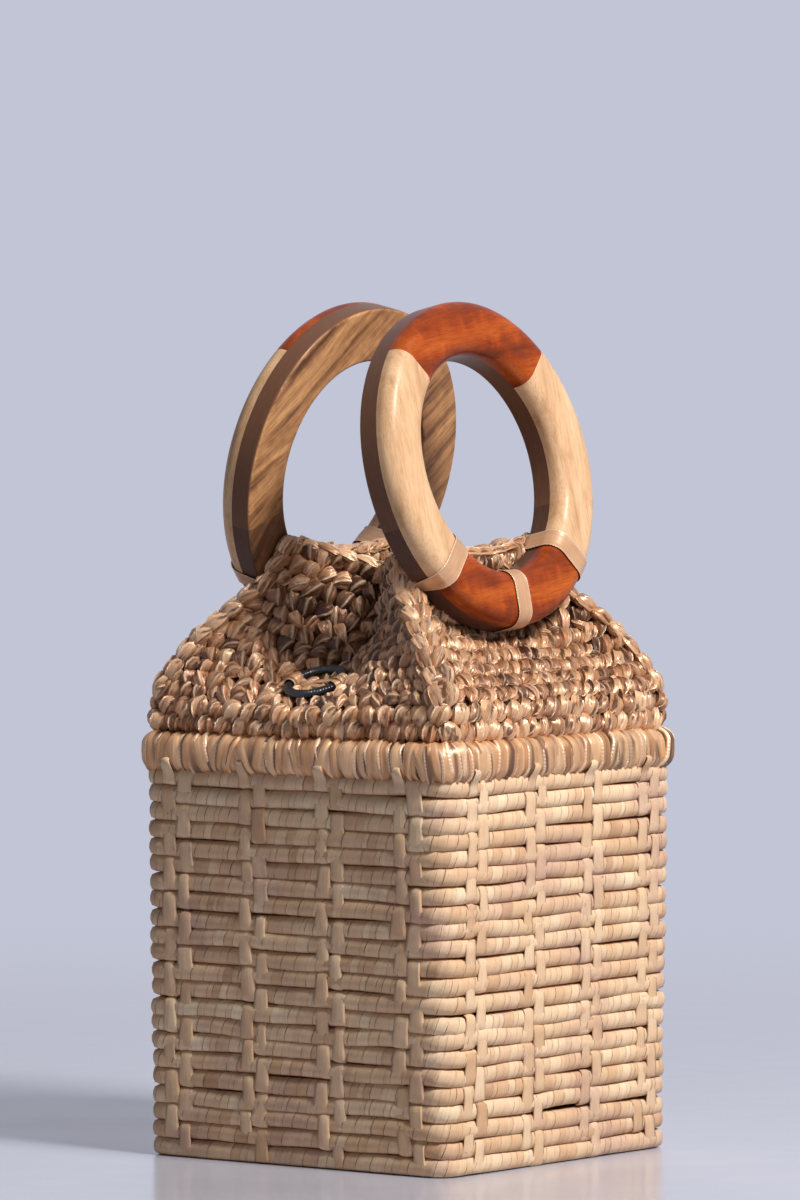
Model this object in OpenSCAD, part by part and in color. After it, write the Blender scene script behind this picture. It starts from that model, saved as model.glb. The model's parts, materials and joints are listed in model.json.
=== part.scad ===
// Basket box bag: a coiled straw box, a ribbon-bound rim, a crocheted ribbon hood with
// two flaps and two folded gussets, and two laminated ring handles tied on with ribbon.
// Millimetres, +Z up, origin under the middle of the base. The handles face -Y and +Y.

/* [Basket] */
// Width of the basket across its lowest coil, the same both ways
basket_w = 172; // [150:1:190]
// Coils stacked in the wall
wall_coils = 22; // [16:1:26]
// Height from one coil to the next
coil_pitch = 8; // [7.4:0.1:8.4]
// Thickness of a straw-wrapped coil
coil_t = 9.4; // [9:0.1:10.4]
// How far the top coil stands outside the lowest one
wall_flare = 2; // [0:0.1:4]
// Radius of the basket's corners on the inside of the wall
corner_in_r = 1.5; // [1:0.1:5]
// Depth of the flat that the lowest coil stands on
foot_flat = 0.4; // [0.2:0.1:0.8]

/* [Straw stitches] */
// Pairs of stitch columns on each face
stitch_pairs = 4; // [2:1:4]
// Distance from a corner's bend to the middle of the nearest pair
pair_inset = 9.8; // [9:0.1:20]
// Distance between the two columns of a pair
column_pitch = 8.4; // [7:0.1:10]
// Width of a straw stitch
stitch_w = 7.8; // [5:0.1:9]
// Thickness of the straw of a stitch
straw_t = 0.6; // [0.3:0.1:1]

/* [Rim] */
// Height of the ribbon-wrapped rim roll
rim_h = 17; // [15:0.5:22]
// Depth of the rim roll through the wall
rim_d = 12.6; // [12:0.2:15]
// How far the rim roll stands outside the top coil
rim_proud = 2.2; // [0.5:0.1:3]
// Height of the rim roll's underside over the middle of the top coil
rim_seat = 2.7; // [1:0.1:4]
// Ribbon turns along each side of the rim
side_turns = 17; // [8:1:24]
// Ribbon turns round each corner of the rim
corner_turns = 2; // [1:1:3]
// How far a ribbon turn stands out of the rim roll
turn_rise = 0.5; // [0.2:0.1:1]

/* [Hood] */
// Thickness of the crochet
hood_t = 6.5; // [5:0.1:8]
// How far a crochet stitch puffs out
puff_h = 2; // [1:0.1:2.5]
// Rounds in the upright collar
collar_rounds = 2; // [1:1:3]
// Height of a crochet round in the collar
round_h = 8.5; // [7:0.1:10]
// Crochet rows from the collar to the top edge
hood_rows = 10; // [8:1:11]
// Stitches across half a flap, and across half a gusset
half_stitches = 8; // [6:1:9]
// Width of a flap along its top edge
flap_w = 92; // [80:1:100]
// Height of a flap's corners over the lowest point of its ring
flap_rise = 44.5; // [40:0.5:55]
// Sag of a flap's top edge between its corners
flap_sag = 6.5; // [0:0.5:8]
// Gap between the two gusset folds at the top
fold_gap = 38; // [34:1:46]
// Depth of a gusset fold's top end under the flap corners
fold_drop = 14; // [10:1:24]
// Dip of the collar where a gusset fold starts
fold_dip = 5; // [0:0.5:6]
// Gap between the two gusset folds where their shelves end
shelf_gap = 50; // [44:1:64]
// Slope of a gusset's shelf from the collar to the end of its run, in degrees
shelf_slope = 24; // [20:1:28]
// Angle from a ring's lowest point at which a crease passes behind the ring
crease_angle = 48; // [44:1:54]
// How far a crease bulges out between the collar and the ring
crease_bulge = 6; // [0:0.5:8]

/* [Ring handles] */
// Outer diameter of a ring handle
ring_od = 150; // [130:1:165]
// Inner diameter of a ring handle
ring_id = 100; // [84:1:115]
// Thickness of the outward layer of wood
face_layer_t = 9; // [8:0.5:12]
// Thickness of the inward layer of wood
back_layer_t = 10; // [6:0.5:12]
// Rounding of the outward layer's edges
face_round = 7; // [3:0.5:8]
// Rounding of the inward layer's edges
back_round = 1.5; // [0.5:0.1:4]
// Distance between the middles of the two rings
ring_spread = 82; // [74:1:100]
// Height of the rings' middles over the rim
ring_rise = 120.5; // [110:0.5:135]
// Lean of the rings towards each other, in degrees
ring_lean = 13.2; // [8:0.1:16]
// Angle from level of the glue joints in the outward layer
face_joint = 45; // [30:1:60]
// Angle under level of the glue joints in the inward layer
back_joint = 22; // [10:1:40]

/* [Ribbon ties] */
// Width of the satin ribbon
ribbon_w = 10; // [6:0.5:14]
// Thickness of the ribbon as it is tied
ribbon_t = 0.8; // [0.5:0.1:1.2]
// Angle between neighbouring ties on a ring
tie_angle = 45; // [30:1:50]

/* [Strap rings] */
// Outer diameter of a strap ring
strap_od = 30; // [24:1:36]
// Thickness of a strap ring
strap_t = 4.5; // [3:0.1:6]
// Distance up the gusset's shelf from the collar to the strap ring's middle
strap_up = 20; // [18:0.5:26]
// Angle of the strap ring that a lashing covers
lash_angle = 32; // [20:1:60]

/* [Fit] */
// Clearance between pieces that lie on each other
clear = 0.3; // [0.1:0.05:0.5]

/* [Hidden] */

$fn = 48;

straw_colour = "#d9bd96";
ribbon_colour = "#a9794f";
pale_wood = "#ecc98f";
red_wood = "#b4511c";
dark_wood = "#6e4f38";
black_cord = "#181616";

// The basket: corner centres, and the middle of each coil measured from them
coil_r = coil_t / 2;
corner_at = basket_w / 2 - corner_in_r - coil_t;
wall_h = coil_t + (wall_coils - 1) * coil_pitch;
wall_reach = corner_in_r + coil_t + wall_flare + straw_t + 1;
function coil_out(i) = corner_in_r + coil_r + wall_flare * i / (wall_coils - 1);
function coil_z(i) = coil_r - foot_flat + i * coil_pitch;
pair_pitch = 2 * (corner_at - pair_inset) / (stitch_pairs - 1);

// The rim roll, and the line along its crest
rim_r = rim_d / 2;
rim_out = coil_out(wall_coils - 1) + coil_r + rim_proud - rim_r;
rim_z = coil_z(wall_coils - 1) + rim_seat;
rim_top = rim_z + rim_h + turn_rise;
seat_r = coil_r + straw_t + clear;

// The rings, each leaning on its own plane
ring_r = ring_od / 2;
hole_r = ring_id / 2;
ring_z = rim_top + ring_rise;
ring_mid = [0, -ring_spread / 2, ring_z];
ring_face = [0, -cos(ring_lean), sin(ring_lean)];
ring_up = [0, sin(ring_lean), cos(ring_lean)];
// Depth under the glue line at which the hood lies, with the ribbon between
ribbon_gap = ribbon_t + 2 * clear;
hood_depth = back_layer_t + ribbon_gap;
tie_sag = hole_r - sqrt(hole_r * hole_r - ribbon_w * ribbon_w / 4);

// Room that pressed crochet leaves round a ring, and how fast it then swells
press_room = 3;
press_swell = 1.2;

// The hood's corner points, in the quarter with X and -Y positive
hood_z = rim_top + clear;
collar_z = hood_z + collar_rounds * round_h;
collar_half = corner_at + rim_out + hood_t / 4;
collar_corner = corner_at + rim_out * cos(45) + hood_t / 4;
function on_flap(v) = ring_mid + v * ring_up - hood_depth * ring_face;
knee = on_flap(-ring_r - clear);
flap_corner = on_flap(flap_rise - ring_r);
flap_middle = on_flap(flap_rise - flap_sag - ring_r);
crease_foot = [collar_corner, -collar_corner, collar_z];
crease_bend = on_flap(-(ring_r + press_room) * cos(crease_angle))
    + [(ring_r + press_room) * sin(crease_angle), 0, 0];
crease_top = [flap_w / 2, flap_corner.y, flap_corner.z];
out_dir = [cos(45), -cos(45), 0];
fold_foot = [collar_half, 0, collar_z - fold_dip];
shelf_run = collar_half - shelf_gap / 2;
fold_bend = fold_foot + shelf_run * [-1, 0, tan(shelf_slope)];
fold_top = [fold_gap / 2, 0, flap_corner.z - fold_drop];
roof_len = norm(knee - [0, -collar_half, collar_z]);
knee_share = roof_len / (roof_len + norm(flap_middle - knee));
bend_len = norm(crease_bend - crease_foot);
bend_share = bend_len / (bend_len + norm(crease_top - crease_bend));
shelf_len = norm(fold_bend - fold_foot);
shelf_share = shelf_len / (shelf_len + norm(fold_top - fold_bend));

// The strap ring on the shelf of the right-hand gusset
strap_r = strap_t / 2;
strap_mid_r = strap_od / 2 - strap_r;
shelf_dir = [-cos(shelf_slope), 0, sin(shelf_slope)];
shelf_normal = [sin(shelf_slope), 0, cos(shelf_slope)];
strap_mid = fold_foot + strap_up * shelf_dir + (strap_r + ribbon_gap) * shelf_normal;

// The crochet grid: two steps a stitch and two steps a row
around = 16 * half_stitches;
levels = 2 * (collar_rounds + hood_rows);
inner_levels = 5;
// Share of a puff that stands on the stitches between two crests
low_puff = 0.4;
// Share of a puff that a crease's braid adds
braid_puff = 0.6;
// Curve of a flap between its middle and its creases
flap_curve = 2.5;
// Sharpness of the collar's corners
corner_curve = 8;
// How far the inside of the crochet lies in from, and under, the outside
inset_in = 0.8 * hood_t;
inset_down = 0.5 * hood_t;

function mix(a, b, t) = a * (1 - t) + b * t;

// Basket

module wall_section() {
    difference() {
        for (i = [0 : wall_coils - 1])
            translate([coil_out(i), coil_z(i)]) circle(coil_r);
        translate([0, -coil_t]) square([wall_reach, coil_t]);
    }
}

// A run of straw stitches, each over two coils, on the outer half of the wall
module stitch_section(first) {
    r = coil_r + straw_t;
    intersection() {
        for (i = [first : 2 : wall_coils - 2]) {
            translate([coil_out(i), coil_z(i)]) circle(r);
            translate([coil_out(i + 1), coil_z(i + 1)]) circle(r);
            polygon([
                [coil_out(i), coil_z(i)], [coil_out(i) + r, coil_z(i)],
                [coil_out(i + 1) + r, coil_z(i + 1)], [coil_out(i + 1), coil_z(i + 1)]
            ]);
        }
        translate([coil_out(wall_coils - 1), 0]) square([wall_reach, wall_h + coil_t]);
    }
}

// Sweeps a section, drawn outwards from the corner centres, round the four sides
module round_box() {
    for (side = [0 : 3]) rotate([0, 0, 90 * side]) {
        translate([corner_at, 0, 0]) rotate([90, 0, 0])
            linear_extrude(2 * corner_at, center = true) children();
        translate([corner_at, corner_at, 0]) rotate_extrude(angle = 90) children();
    }
}

module stitch_column(along, first) {
    translate([corner_at, along, 0]) rotate([90, 0, 0])
        linear_extrude(stitch_w, center = true) stitch_section(first);
}

module base_coils() {
    span = basket_w - coil_t;
    steps = round(span / coil_pitch);
    for (k = [1 : steps - 1])
        translate([0, k * span / steps - span / 2, coil_z(0)])
            rotate([0, 90, 0]) cylinder(h = span, r = coil_r - foot_flat - clear / 2, center = true);
}

module basket() color(straw_colour) {
    round_box() wall_section();
    for (side = [0 : 3]) rotate([0, 0, 90 * side])
        for (pair = [0 : stitch_pairs - 1]) {
            middle = pair_inset - corner_at + pair * pair_pitch;
            stitch_column(middle - column_pitch / 2, 1);
            stitch_column(middle + column_pitch / 2, 0);
        }
    base_coils();
}

// Rim

// The roll's section, grown for a ribbon turn, over the hollow that sits on the top coil
module rim_section(grow) {
    difference() {
        union() {
            translate([rim_out, rim_z + rim_r]) circle(rim_r + grow);
            translate([rim_out, rim_z + rim_h - rim_r]) circle(rim_r + grow);
            translate([rim_out - rim_r - grow, rim_z + rim_r])
                square([rim_d + 2 * grow, rim_h - rim_d]);
        }
        translate([coil_out(wall_coils - 1), coil_z(wall_coils - 1)]) circle(seat_r + grow / 2);
    }
}

module rim_binding() color(ribbon_colour) {
    turn_pitch = 2 * corner_at / side_turns;
    corner_pitch = 90 / corner_turns;
    turn_share = 0.75;
    round_box() rim_section(0);
    for (side = [0 : 3]) rotate([0, 0, 90 * side]) {
        for (i = [0 : side_turns - 1])
            translate([corner_at, (i + 0.5) * turn_pitch - corner_at, 0]) rotate([90, 0, 0])
                linear_extrude(turn_share * turn_pitch, center = true) rim_section(turn_rise);
        for (i = [0 : corner_turns - 1])
            translate([corner_at, corner_at, 0])
                rotate([0, 0, (i + (1 - turn_share) / 2) * corner_pitch])
                    rotate_extrude(angle = turn_share * corner_pitch) rim_section(turn_rise);
    }
}

// Hood: points of one quarter, from the middle of a flap past its crease to the gusset fold

function flap_line(t) = t < knee_share
    ? mix([0, -collar_half, collar_z], knee, t / knee_share)
    : mix(knee, flap_middle, (t - knee_share) / (1 - knee_share));
function crease_line(t) = t < bend_share
    ? mix(crease_foot, crease_bend, t / bend_share) + crease_bulge * sin(180 * t / bend_share) * out_dir
    : mix(crease_bend, crease_top, (t - bend_share) / (1 - bend_share));
function fold_line(t) = t < shelf_share
    ? mix(fold_foot, fold_bend, t / shelf_share)
    : mix(fold_bend, fold_top, (t - shelf_share) / (1 - shelf_share));

// Plan direction from a crease to its gusset fold
function gusset_dir(t) = let (d = fold_line(t) - crease_line(t)) [d.x, d.y, 0] / norm([d.x, d.y]);

// The three lines again, set in for the inside of the crochet
function flap_in(t, k) = flap_line(t) + k * [0, inset_in, -inset_down];
function crease_in(t, k) =
    crease_line(t) + k * (([-1, 0, 0] + gusset_dir(t)) * inset_in / gusset_dir(t).y - [0, 0, inset_down]);
function fold_in(t, k) = fold_line(t) - k * [inset_in / gusset_dir(t).y, 0, inset_down];

function flap_point(u, t, k) = let (
        m = flap_in(t, k),
        c = crease_in(t, k),
        w = pow(u, mix(corner_curve, flap_curve, min(1, 2 * t)))
    ) [u * c.x, mix(m.y, c.y, w), mix(m.z, c.z, w)];
function gusset_point(u, t, k) = mix(crease_in(t, k), fold_in(t, k), u);
function quarter(f, t, k) = f < 0.5 ? flap_point(2 * f, t, k) : gusset_point(2 * f - 1, t, k);

// A point at g quarters round and s rows up, on the outside (k = 0) or the inside (k = 1)
function hood_point(g, s, k) = let (
        q = floor(g) % 4,
        f = q % 2 == 0 ? g - floor(g) : 1 - g + floor(g),
        t = max(0, s - collar_rounds) / hood_rows,
        c = min(1, s / collar_rounds),
        p = quarter(f, t, k)
    ) [(q < 2 ? 1 : -1) * p.x, (q == 0 || q == 3 ? 1 : -1) * p.y, mix(hood_z, p.z, c)];

function hood_normal(g, s) = let (
        step = 4 / around,
        du = hood_point(g + step, s, 0) - hood_point(g + 4 - step, s, 0),
        dv = hood_point(g, min(s + 0.5, levels / 2), 0) - hood_point(g, max(s - 0.5, 0), 0),
        n = cross(du, dv)
    ) n / norm(n);

// Crests alternate from row to row, and the creases carry a braid
function puff(i, level) = let (
        crest = (i + floor(level / 2)) % 2 == 0 ? 1 : low_puff,
        braid = i % (around / 4) == around / 8 ? braid_puff : 0
    ) level % 2 == 0 ? 0 : puff_h * (crest + braid);

// Pushes a point back where it stands above a limit over a plane
function push(p, mid, normal, limit) = p - normal * max(0, (p - mid) * normal - limit);

function behind_ring(p) = let (
        side = p.y < 0 ? 1 : -1,
        q = [p.x, side * p.y, p.z],
        d = q - ring_mid,
        rho = norm([d.x, d * ring_up]),
        swell = press_swell * max(0, rho - ring_r - press_room),
        hole_swell = press_swell * max(0, hole_r - press_room - rho),
        r = push(q, ring_mid, ring_face, max(swell, min(hole_swell, puff_h)) - hood_depth)
    ) [r.x, side * r.y, r.z];

function under_strap(p) = let (
        side = p.x < 0 ? -1 : 1,
        q = [side * p.x, p.y, p.z],
        d = q - strap_mid,
        rho = norm([d.y, d * shelf_dir]),
        swell = press_swell * max(0, rho - strap_od / 2 - press_room),
        r = push(q, strap_mid, shelf_normal, swell - strap_r - ribbon_gap)
    ) [side * r.x, r.y, r.z];

module hood() color(ribbon_colour) {
    outside = [for (level = [0 : levels]) for (i = [0 : around - 1])
        let (g = 4 * i / around, s = level / 2)
            under_strap(behind_ring(hood_point(g, s, 0) + puff(i, level) * hood_normal(g, s)))];
    inner_rows = [0, for (j = [0 : inner_levels - 1])
        collar_rounds + j * hood_rows / (inner_levels - 1)];
    inside = [for (s = inner_rows) for (i = [0 : around - 1]) hood_point(4 * i / around, s, 1)];
    start = len(outside);
    top = levels * around;
    inner_top = start + inner_levels * around;
    polyhedron(
        points = concat(outside, inside),
        faces = [
            for (i = [0 : around - 1]) let (n = (i + 1) % around) each [
                for (level = [0 : levels - 1]) let (a = level * around, b = a + around) each
                    (i + floor((level + 1) / 2)) % 2 == 0
                        ? [[a + i, b + i, b + n], [a + i, b + n, a + n]]
                        : [[a + i, b + i, a + n], [b + i, b + n, a + n]],
                for (j = [0 : inner_levels - 1]) let (a = start + j * around, b = a + around) each
                    [[a + i, a + n, b + n], [a + i, b + n, b + i]],
                [i, n, start + n],
                [i, start + n, start + i],
                [top + i, inner_top + i, inner_top + n],
                [top + i, inner_top + n, top + n]
            ]
        ]
    );
}

// Ring handles, drawn with their outward face up

// The ring's whole section, grown by a clearance, and further into the hole by sag
module ring_section(grow, sag = 0) {
    inner = hole_r - grow - sag;
    outer = ring_r + grow;
    top = face_layer_t + grow;
    bottom = -back_layer_t - grow;
    tr = face_round + grow;
    br = back_round + grow;
    translate([inner, bottom + br]) square([outer - inner, top - tr - bottom - br]);
    translate([inner + tr, top - tr]) square([outer - inner - 2 * tr, tr]);
    translate([inner + br, bottom]) square([outer - inner - 2 * br, br]);
    for (x = [inner + tr, outer - tr]) translate([x, top - tr]) circle(tr);
    for (x = [inner + br, outer - br]) translate([x, bottom + br]) circle(br);
}

module face_section() {
    intersection() {
        ring_section(0);
        translate([hole_r, 0]) square([ring_r - hole_r, face_layer_t]);
    }
}

module back_section() {
    intersection() {
        ring_section(0);
        translate([hole_r, -back_layer_t]) square([ring_r - hole_r, back_layer_t]);
    }
}

// Places a ring's own frame on the front (turn 0) or the back (turn 180) of the bag
module on_ring(turn) {
    rotate([0, 0, turn]) translate(ring_mid) rotate([90 - ring_lean, 0, 0]) children();
}

module ring_face_piece(turn, from, to, wood) {
    color(wood) on_ring(turn) rotate([0, 0, from])
        rotate_extrude(angle = to - from) face_section();
}

module ring_back_piece(turn, from, to) {
    color(dark_wood) on_ring(turn) rotate([0, 0, from])
        rotate_extrude(angle = to - from) back_section();
}

module ring_top(turn) ring_face_piece(turn, face_joint, 180 - face_joint, red_wood);
module ring_left(turn) ring_face_piece(turn, 180 - face_joint, 180 + face_joint, pale_wood);
module ring_bottom(turn) ring_face_piece(turn, 180 + face_joint, 360 - face_joint, red_wood);
module ring_right(turn) ring_face_piece(turn, -face_joint, face_joint, pale_wood);
module ring_back_upper(turn) ring_back_piece(turn, -back_joint, 180 + back_joint);
module ring_back_lower(turn) ring_back_piece(turn, 180 + back_joint, 360 - back_joint);

// A loop of ribbon drawn tight round the ring, at an angle from its lowest point
module tie(turn, from_bottom) {
    color(ribbon_colour) on_ring(turn) rotate([0, 0, from_bottom - 90]) rotate([90, 0, 0])
        linear_extrude(ribbon_w, center = true) difference() {
            ring_section(clear + ribbon_t, tie_sag);
            ring_section(clear, tie_sag);
        }
}

// Strap rings, flat on the shelves of the gussets

module on_shelf(turn) {
    rotate([0, 0, turn]) translate(strap_mid) rotate([0, shelf_slope, 0]) children();
}

module strap_ring(turn) {
    color(black_cord) on_shelf(turn) rotate_extrude() translate([strap_mid_r, 0]) circle(strap_r);
}

// Two sleeves of ribbon that sew the strap ring down on both sides of the fold
module strap_lashing(turn) {
    color(ribbon_colour) on_shelf(turn) for (side = [90, 270])
        rotate([0, 0, side - lash_angle / 2]) rotate_extrude(angle = lash_angle)
            translate([strap_mid_r, 0]) difference() {
                circle(strap_r + clear + ribbon_t);
                circle(strap_r + clear);
            }
}

basket();
rim_binding();
hood();
ring_top(0);  // front_ring_top
ring_left(0);  // front_ring_left
ring_bottom(0);  // front_ring_bottom
ring_right(0);  // front_ring_right
ring_back_upper(0);  // front_ring_back_upper
ring_back_lower(0);  // front_ring_back_lower
ring_top(180);  // back_ring_top
ring_left(180);  // back_ring_left
ring_bottom(180);  // back_ring_bottom
ring_right(180);  // back_ring_right
ring_back_upper(180);  // back_ring_back_upper
ring_back_lower(180);  // back_ring_back_lower
tie(0, -tie_angle);  // front_tie_left
tie(0, 0);  // front_tie_middle
tie(0, tie_angle);  // front_tie_right
tie(180, -tie_angle);  // back_tie_left
tie(180, 0);  // back_tie_middle
tie(180, tie_angle);  // back_tie_right
strap_ring(180);  // left_strap_ring
strap_lashing(180);  // left_strap_lashing
strap_ring(0);  // right_strap_ring
strap_lashing(0);  // right_strap_lashing
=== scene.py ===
"""Basket box bag: a coiled straw box, a ribbon-bound rim, a hood crocheted in satin ribbon and
two laminated ring handles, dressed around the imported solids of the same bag.

Sizes are in millimetres, and become metres where a mesh is made.
"""

import json
import logging
import math
from dataclasses import dataclass, field
from enum import Enum

import bpy
import numpy as np
from mathutils import Euler, Matrix, Vector

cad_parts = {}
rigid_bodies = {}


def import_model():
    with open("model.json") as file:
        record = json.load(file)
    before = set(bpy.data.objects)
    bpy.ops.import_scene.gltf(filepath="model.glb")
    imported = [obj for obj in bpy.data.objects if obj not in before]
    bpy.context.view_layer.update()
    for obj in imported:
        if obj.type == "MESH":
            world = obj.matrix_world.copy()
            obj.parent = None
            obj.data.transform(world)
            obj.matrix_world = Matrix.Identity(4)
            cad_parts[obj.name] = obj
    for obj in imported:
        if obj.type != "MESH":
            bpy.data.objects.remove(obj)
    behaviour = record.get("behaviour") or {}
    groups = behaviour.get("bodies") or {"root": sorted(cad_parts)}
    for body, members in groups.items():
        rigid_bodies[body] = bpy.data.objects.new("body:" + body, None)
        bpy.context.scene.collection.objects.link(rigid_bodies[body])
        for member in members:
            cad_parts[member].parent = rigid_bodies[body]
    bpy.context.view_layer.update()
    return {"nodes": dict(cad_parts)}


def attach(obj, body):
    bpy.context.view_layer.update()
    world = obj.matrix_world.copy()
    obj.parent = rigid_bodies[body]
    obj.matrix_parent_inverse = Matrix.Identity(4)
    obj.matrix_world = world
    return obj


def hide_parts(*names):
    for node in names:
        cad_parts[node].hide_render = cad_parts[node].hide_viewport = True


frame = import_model()

MM = 0.001
ROOT = "root"
TURN = 2 * math.pi
CORNER_AT = 75.1
RIM_OUT = 8.8
RING_LEAN = 13.2
RING_MIDDLE = (0.0, -41.0, 313.0)
RING_R = 75.0
HOLE_R = 50.0
Array = np.ndarray
Socket = bpy.types.NodeSocket
Colour = tuple[float, float, float, float]
Place = tuple[Array, Array, Array, float]
log = logging.getLogger("basket_bag")


def screen(red: float, green: float, blue: float) -> Colour:
    """Linear colour of three screen values from 0 to 255."""
    share = np.array([red, green, blue]) / 255
    linear = np.where(share <= 0.04045, share / 12.92, ((share + 0.055) / 1.055) ** 2.4)
    return (float(linear[0]), float(linear[1]), float(linear[2]), 1.0)


def unit(vectors: Array) -> Array:
    """The same vectors with a length of one."""
    return vectors / np.linalg.norm(vectors, axis=-1, keepdims=True)


def mix(a: Array, b: Array, share: Array) -> Array:
    """Values between a and b."""
    return a * (1 - share) + b * share


class Graph:
    """Adds nodes to one tree and joins them."""

    def __init__(self, tree: bpy.types.NodeTree) -> None:
        """Takes the tree that the nodes go into."""
        self.tree = tree

    def node(self, kind: str, inputs: dict | None = None, **settings: object) -> bpy.types.Node:
        """Adds a node.

        Args:
            kind: The node's type name.
            inputs: A value or a socket for each input, by its name or place.
            **settings: The node's own properties.

        Returns:
            The new node.
        """
        made = self.tree.nodes.new(kind)
        for name, value in settings.items():
            setattr(made, name, value)
        for key, value in (inputs or {}).items():
            self.feed(made.inputs[key], value)
        return made

    def feed(self, socket: Socket, value: object) -> None:
        """Links an input to another socket, or sets its value."""
        if isinstance(value, Socket):
            self.tree.links.new(value, socket)
        else:
            socket.default_value = value

    def math(self, operation: str, *values: object) -> Socket:
        """Result of a Math node on values or sockets."""
        return self.node("ShaderNodeMath", dict(enumerate(values)), operation=operation).outputs[0]

    def vectors(self, operation: str, *values: object) -> Socket:
        """Result of a Vector Math node on values or sockets."""
        made = self.node("ShaderNodeVectorMath", dict(enumerate(values)), operation=operation)
        return made.outputs["Vector"]

    def scaled(self, vector: Socket, factor: object) -> Socket:
        """A vector times one number."""
        made = self.node("ShaderNodeVectorMath", {0: vector, "Scale": factor}, operation="SCALE")
        return made.outputs["Vector"]

    def ramp(self, value: Socket, stops: list[tuple[float, Colour]]) -> Socket:
        """Colour of a value on a ramp of (place, colour) stops."""
        made = self.node("ShaderNodeValToRGB", {"Fac": value})
        elements = made.color_ramp.elements
        while len(elements) < len(stops):
            elements.new(0.5)
        for element, (place, colour) in zip(elements, stops):
            element.position = place
            element.color = colour
        return made.outputs["Color"]

    def levels(self, value: Socket, low: float, high: float,
               to_low: float = 0.0, to_high: float = 1.0) -> Socket:
        """A value carried smoothly from one range to another."""
        return self.node(
            "ShaderNodeMapRange",
            {"Value": value, "From Min": low, "From Max": high, "To Min": to_low, "To Max": to_high},
            interpolation_type="SMOOTHSTEP",
        ).outputs["Result"]

    def blend(self, factor: object, first: object, second: object, blend_type: str = "MIX") -> Socket:
        """Two colours mixed by a factor."""
        made = self.node("ShaderNodeMix", data_type="RGBA", blend_type=blend_type)
        for place, value in ((0, factor), (6, first), (7, second)):
            self.feed(made.inputs[place], value)
        return made.outputs[2]

    def noise(self, vector: Socket, scale: float, detail: float = 3.0, rough: float = 0.55) -> Socket:
        """Value of a Noise Texture."""
        values = {"Vector": vector, "Scale": scale, "Detail": detail, "Roughness": rough}
        return self.node("ShaderNodeTexNoise", values).outputs["Fac"]

    def stretched(self, vector: Socket, along: tuple[float, float, float]) -> Socket:
        """A vector scaled by three factors."""
        return self.vectors("MULTIPLY", vector, along)

    def cloud(self, vector: Socket, scale: float, detail: float, spread: float) -> Socket:
        """Noise about zero, of up to half a spread each way."""
        centred = self.math("SUBTRACT", self.noise(vector, scale, detail), 0.5)
        return self.math("MULTIPLY", centred, spread)

    def joined(self, *values: object) -> Socket:
        """Vector of up to three values or sockets."""
        return self.node("ShaderNodeCombineXYZ", dict(enumerate(values))).outputs[0]

    def parts(self, vector: Socket) -> list[Socket]:
        """The three parts of a vector."""
        return list(self.node("ShaderNodeSeparateXYZ", {0: vector}).outputs)


class Shading(Graph):
    """The nodes of one material, ending in a Principled shader."""

    def __init__(self, name: str) -> None:
        """Starts an empty material of that name."""
        self.material = bpy.data.materials.new(name)
        self.material.use_nodes = True
        super().__init__(self.material.node_tree)
        self.tree.nodes.clear()

    def attribute(self, name: str) -> Socket:
        """Value of one of the mesh's own attributes."""
        return self.node("ShaderNodeAttribute", attribute_name=name).outputs["Fac"]

    def place(self) -> Socket:
        """Object coordinates."""
        return self.node("ShaderNodeTexCoord").outputs["Object"]

    def uv(self) -> Socket:
        """The mesh's own UV: from ring to ring of its skin, and round each ring."""
        return self.node("ShaderNodeUVMap", uv_map="UVMap").outputs[0]

    def bump(self, height: Socket, depth: float, strength: float) -> Socket:
        """Normal bent by a height, with its depth in millimetres."""
        values = {"Height": height, "Distance": depth * MM, "Strength": strength}
        return self.node("ShaderNodeBump", values).outputs["Normal"]

    def finish(self, **inputs: object) -> bpy.types.Material:
        """Ends the tree.

        Args:
            **inputs: A value or socket for each input of the Principled shader, with _ for a space.

        Returns:
            The finished material.
        """
        named = {key.replace("_", " "): value for key, value in inputs.items()}
        named = {key.replace("Ior", "IOR"): value for key, value in named.items()}
        shader = self.node("ShaderNodeBsdfPrincipled", named)
        self.node("ShaderNodeOutputMaterial", {"Surface": shader.outputs["BSDF"]})
        return self.material


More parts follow.
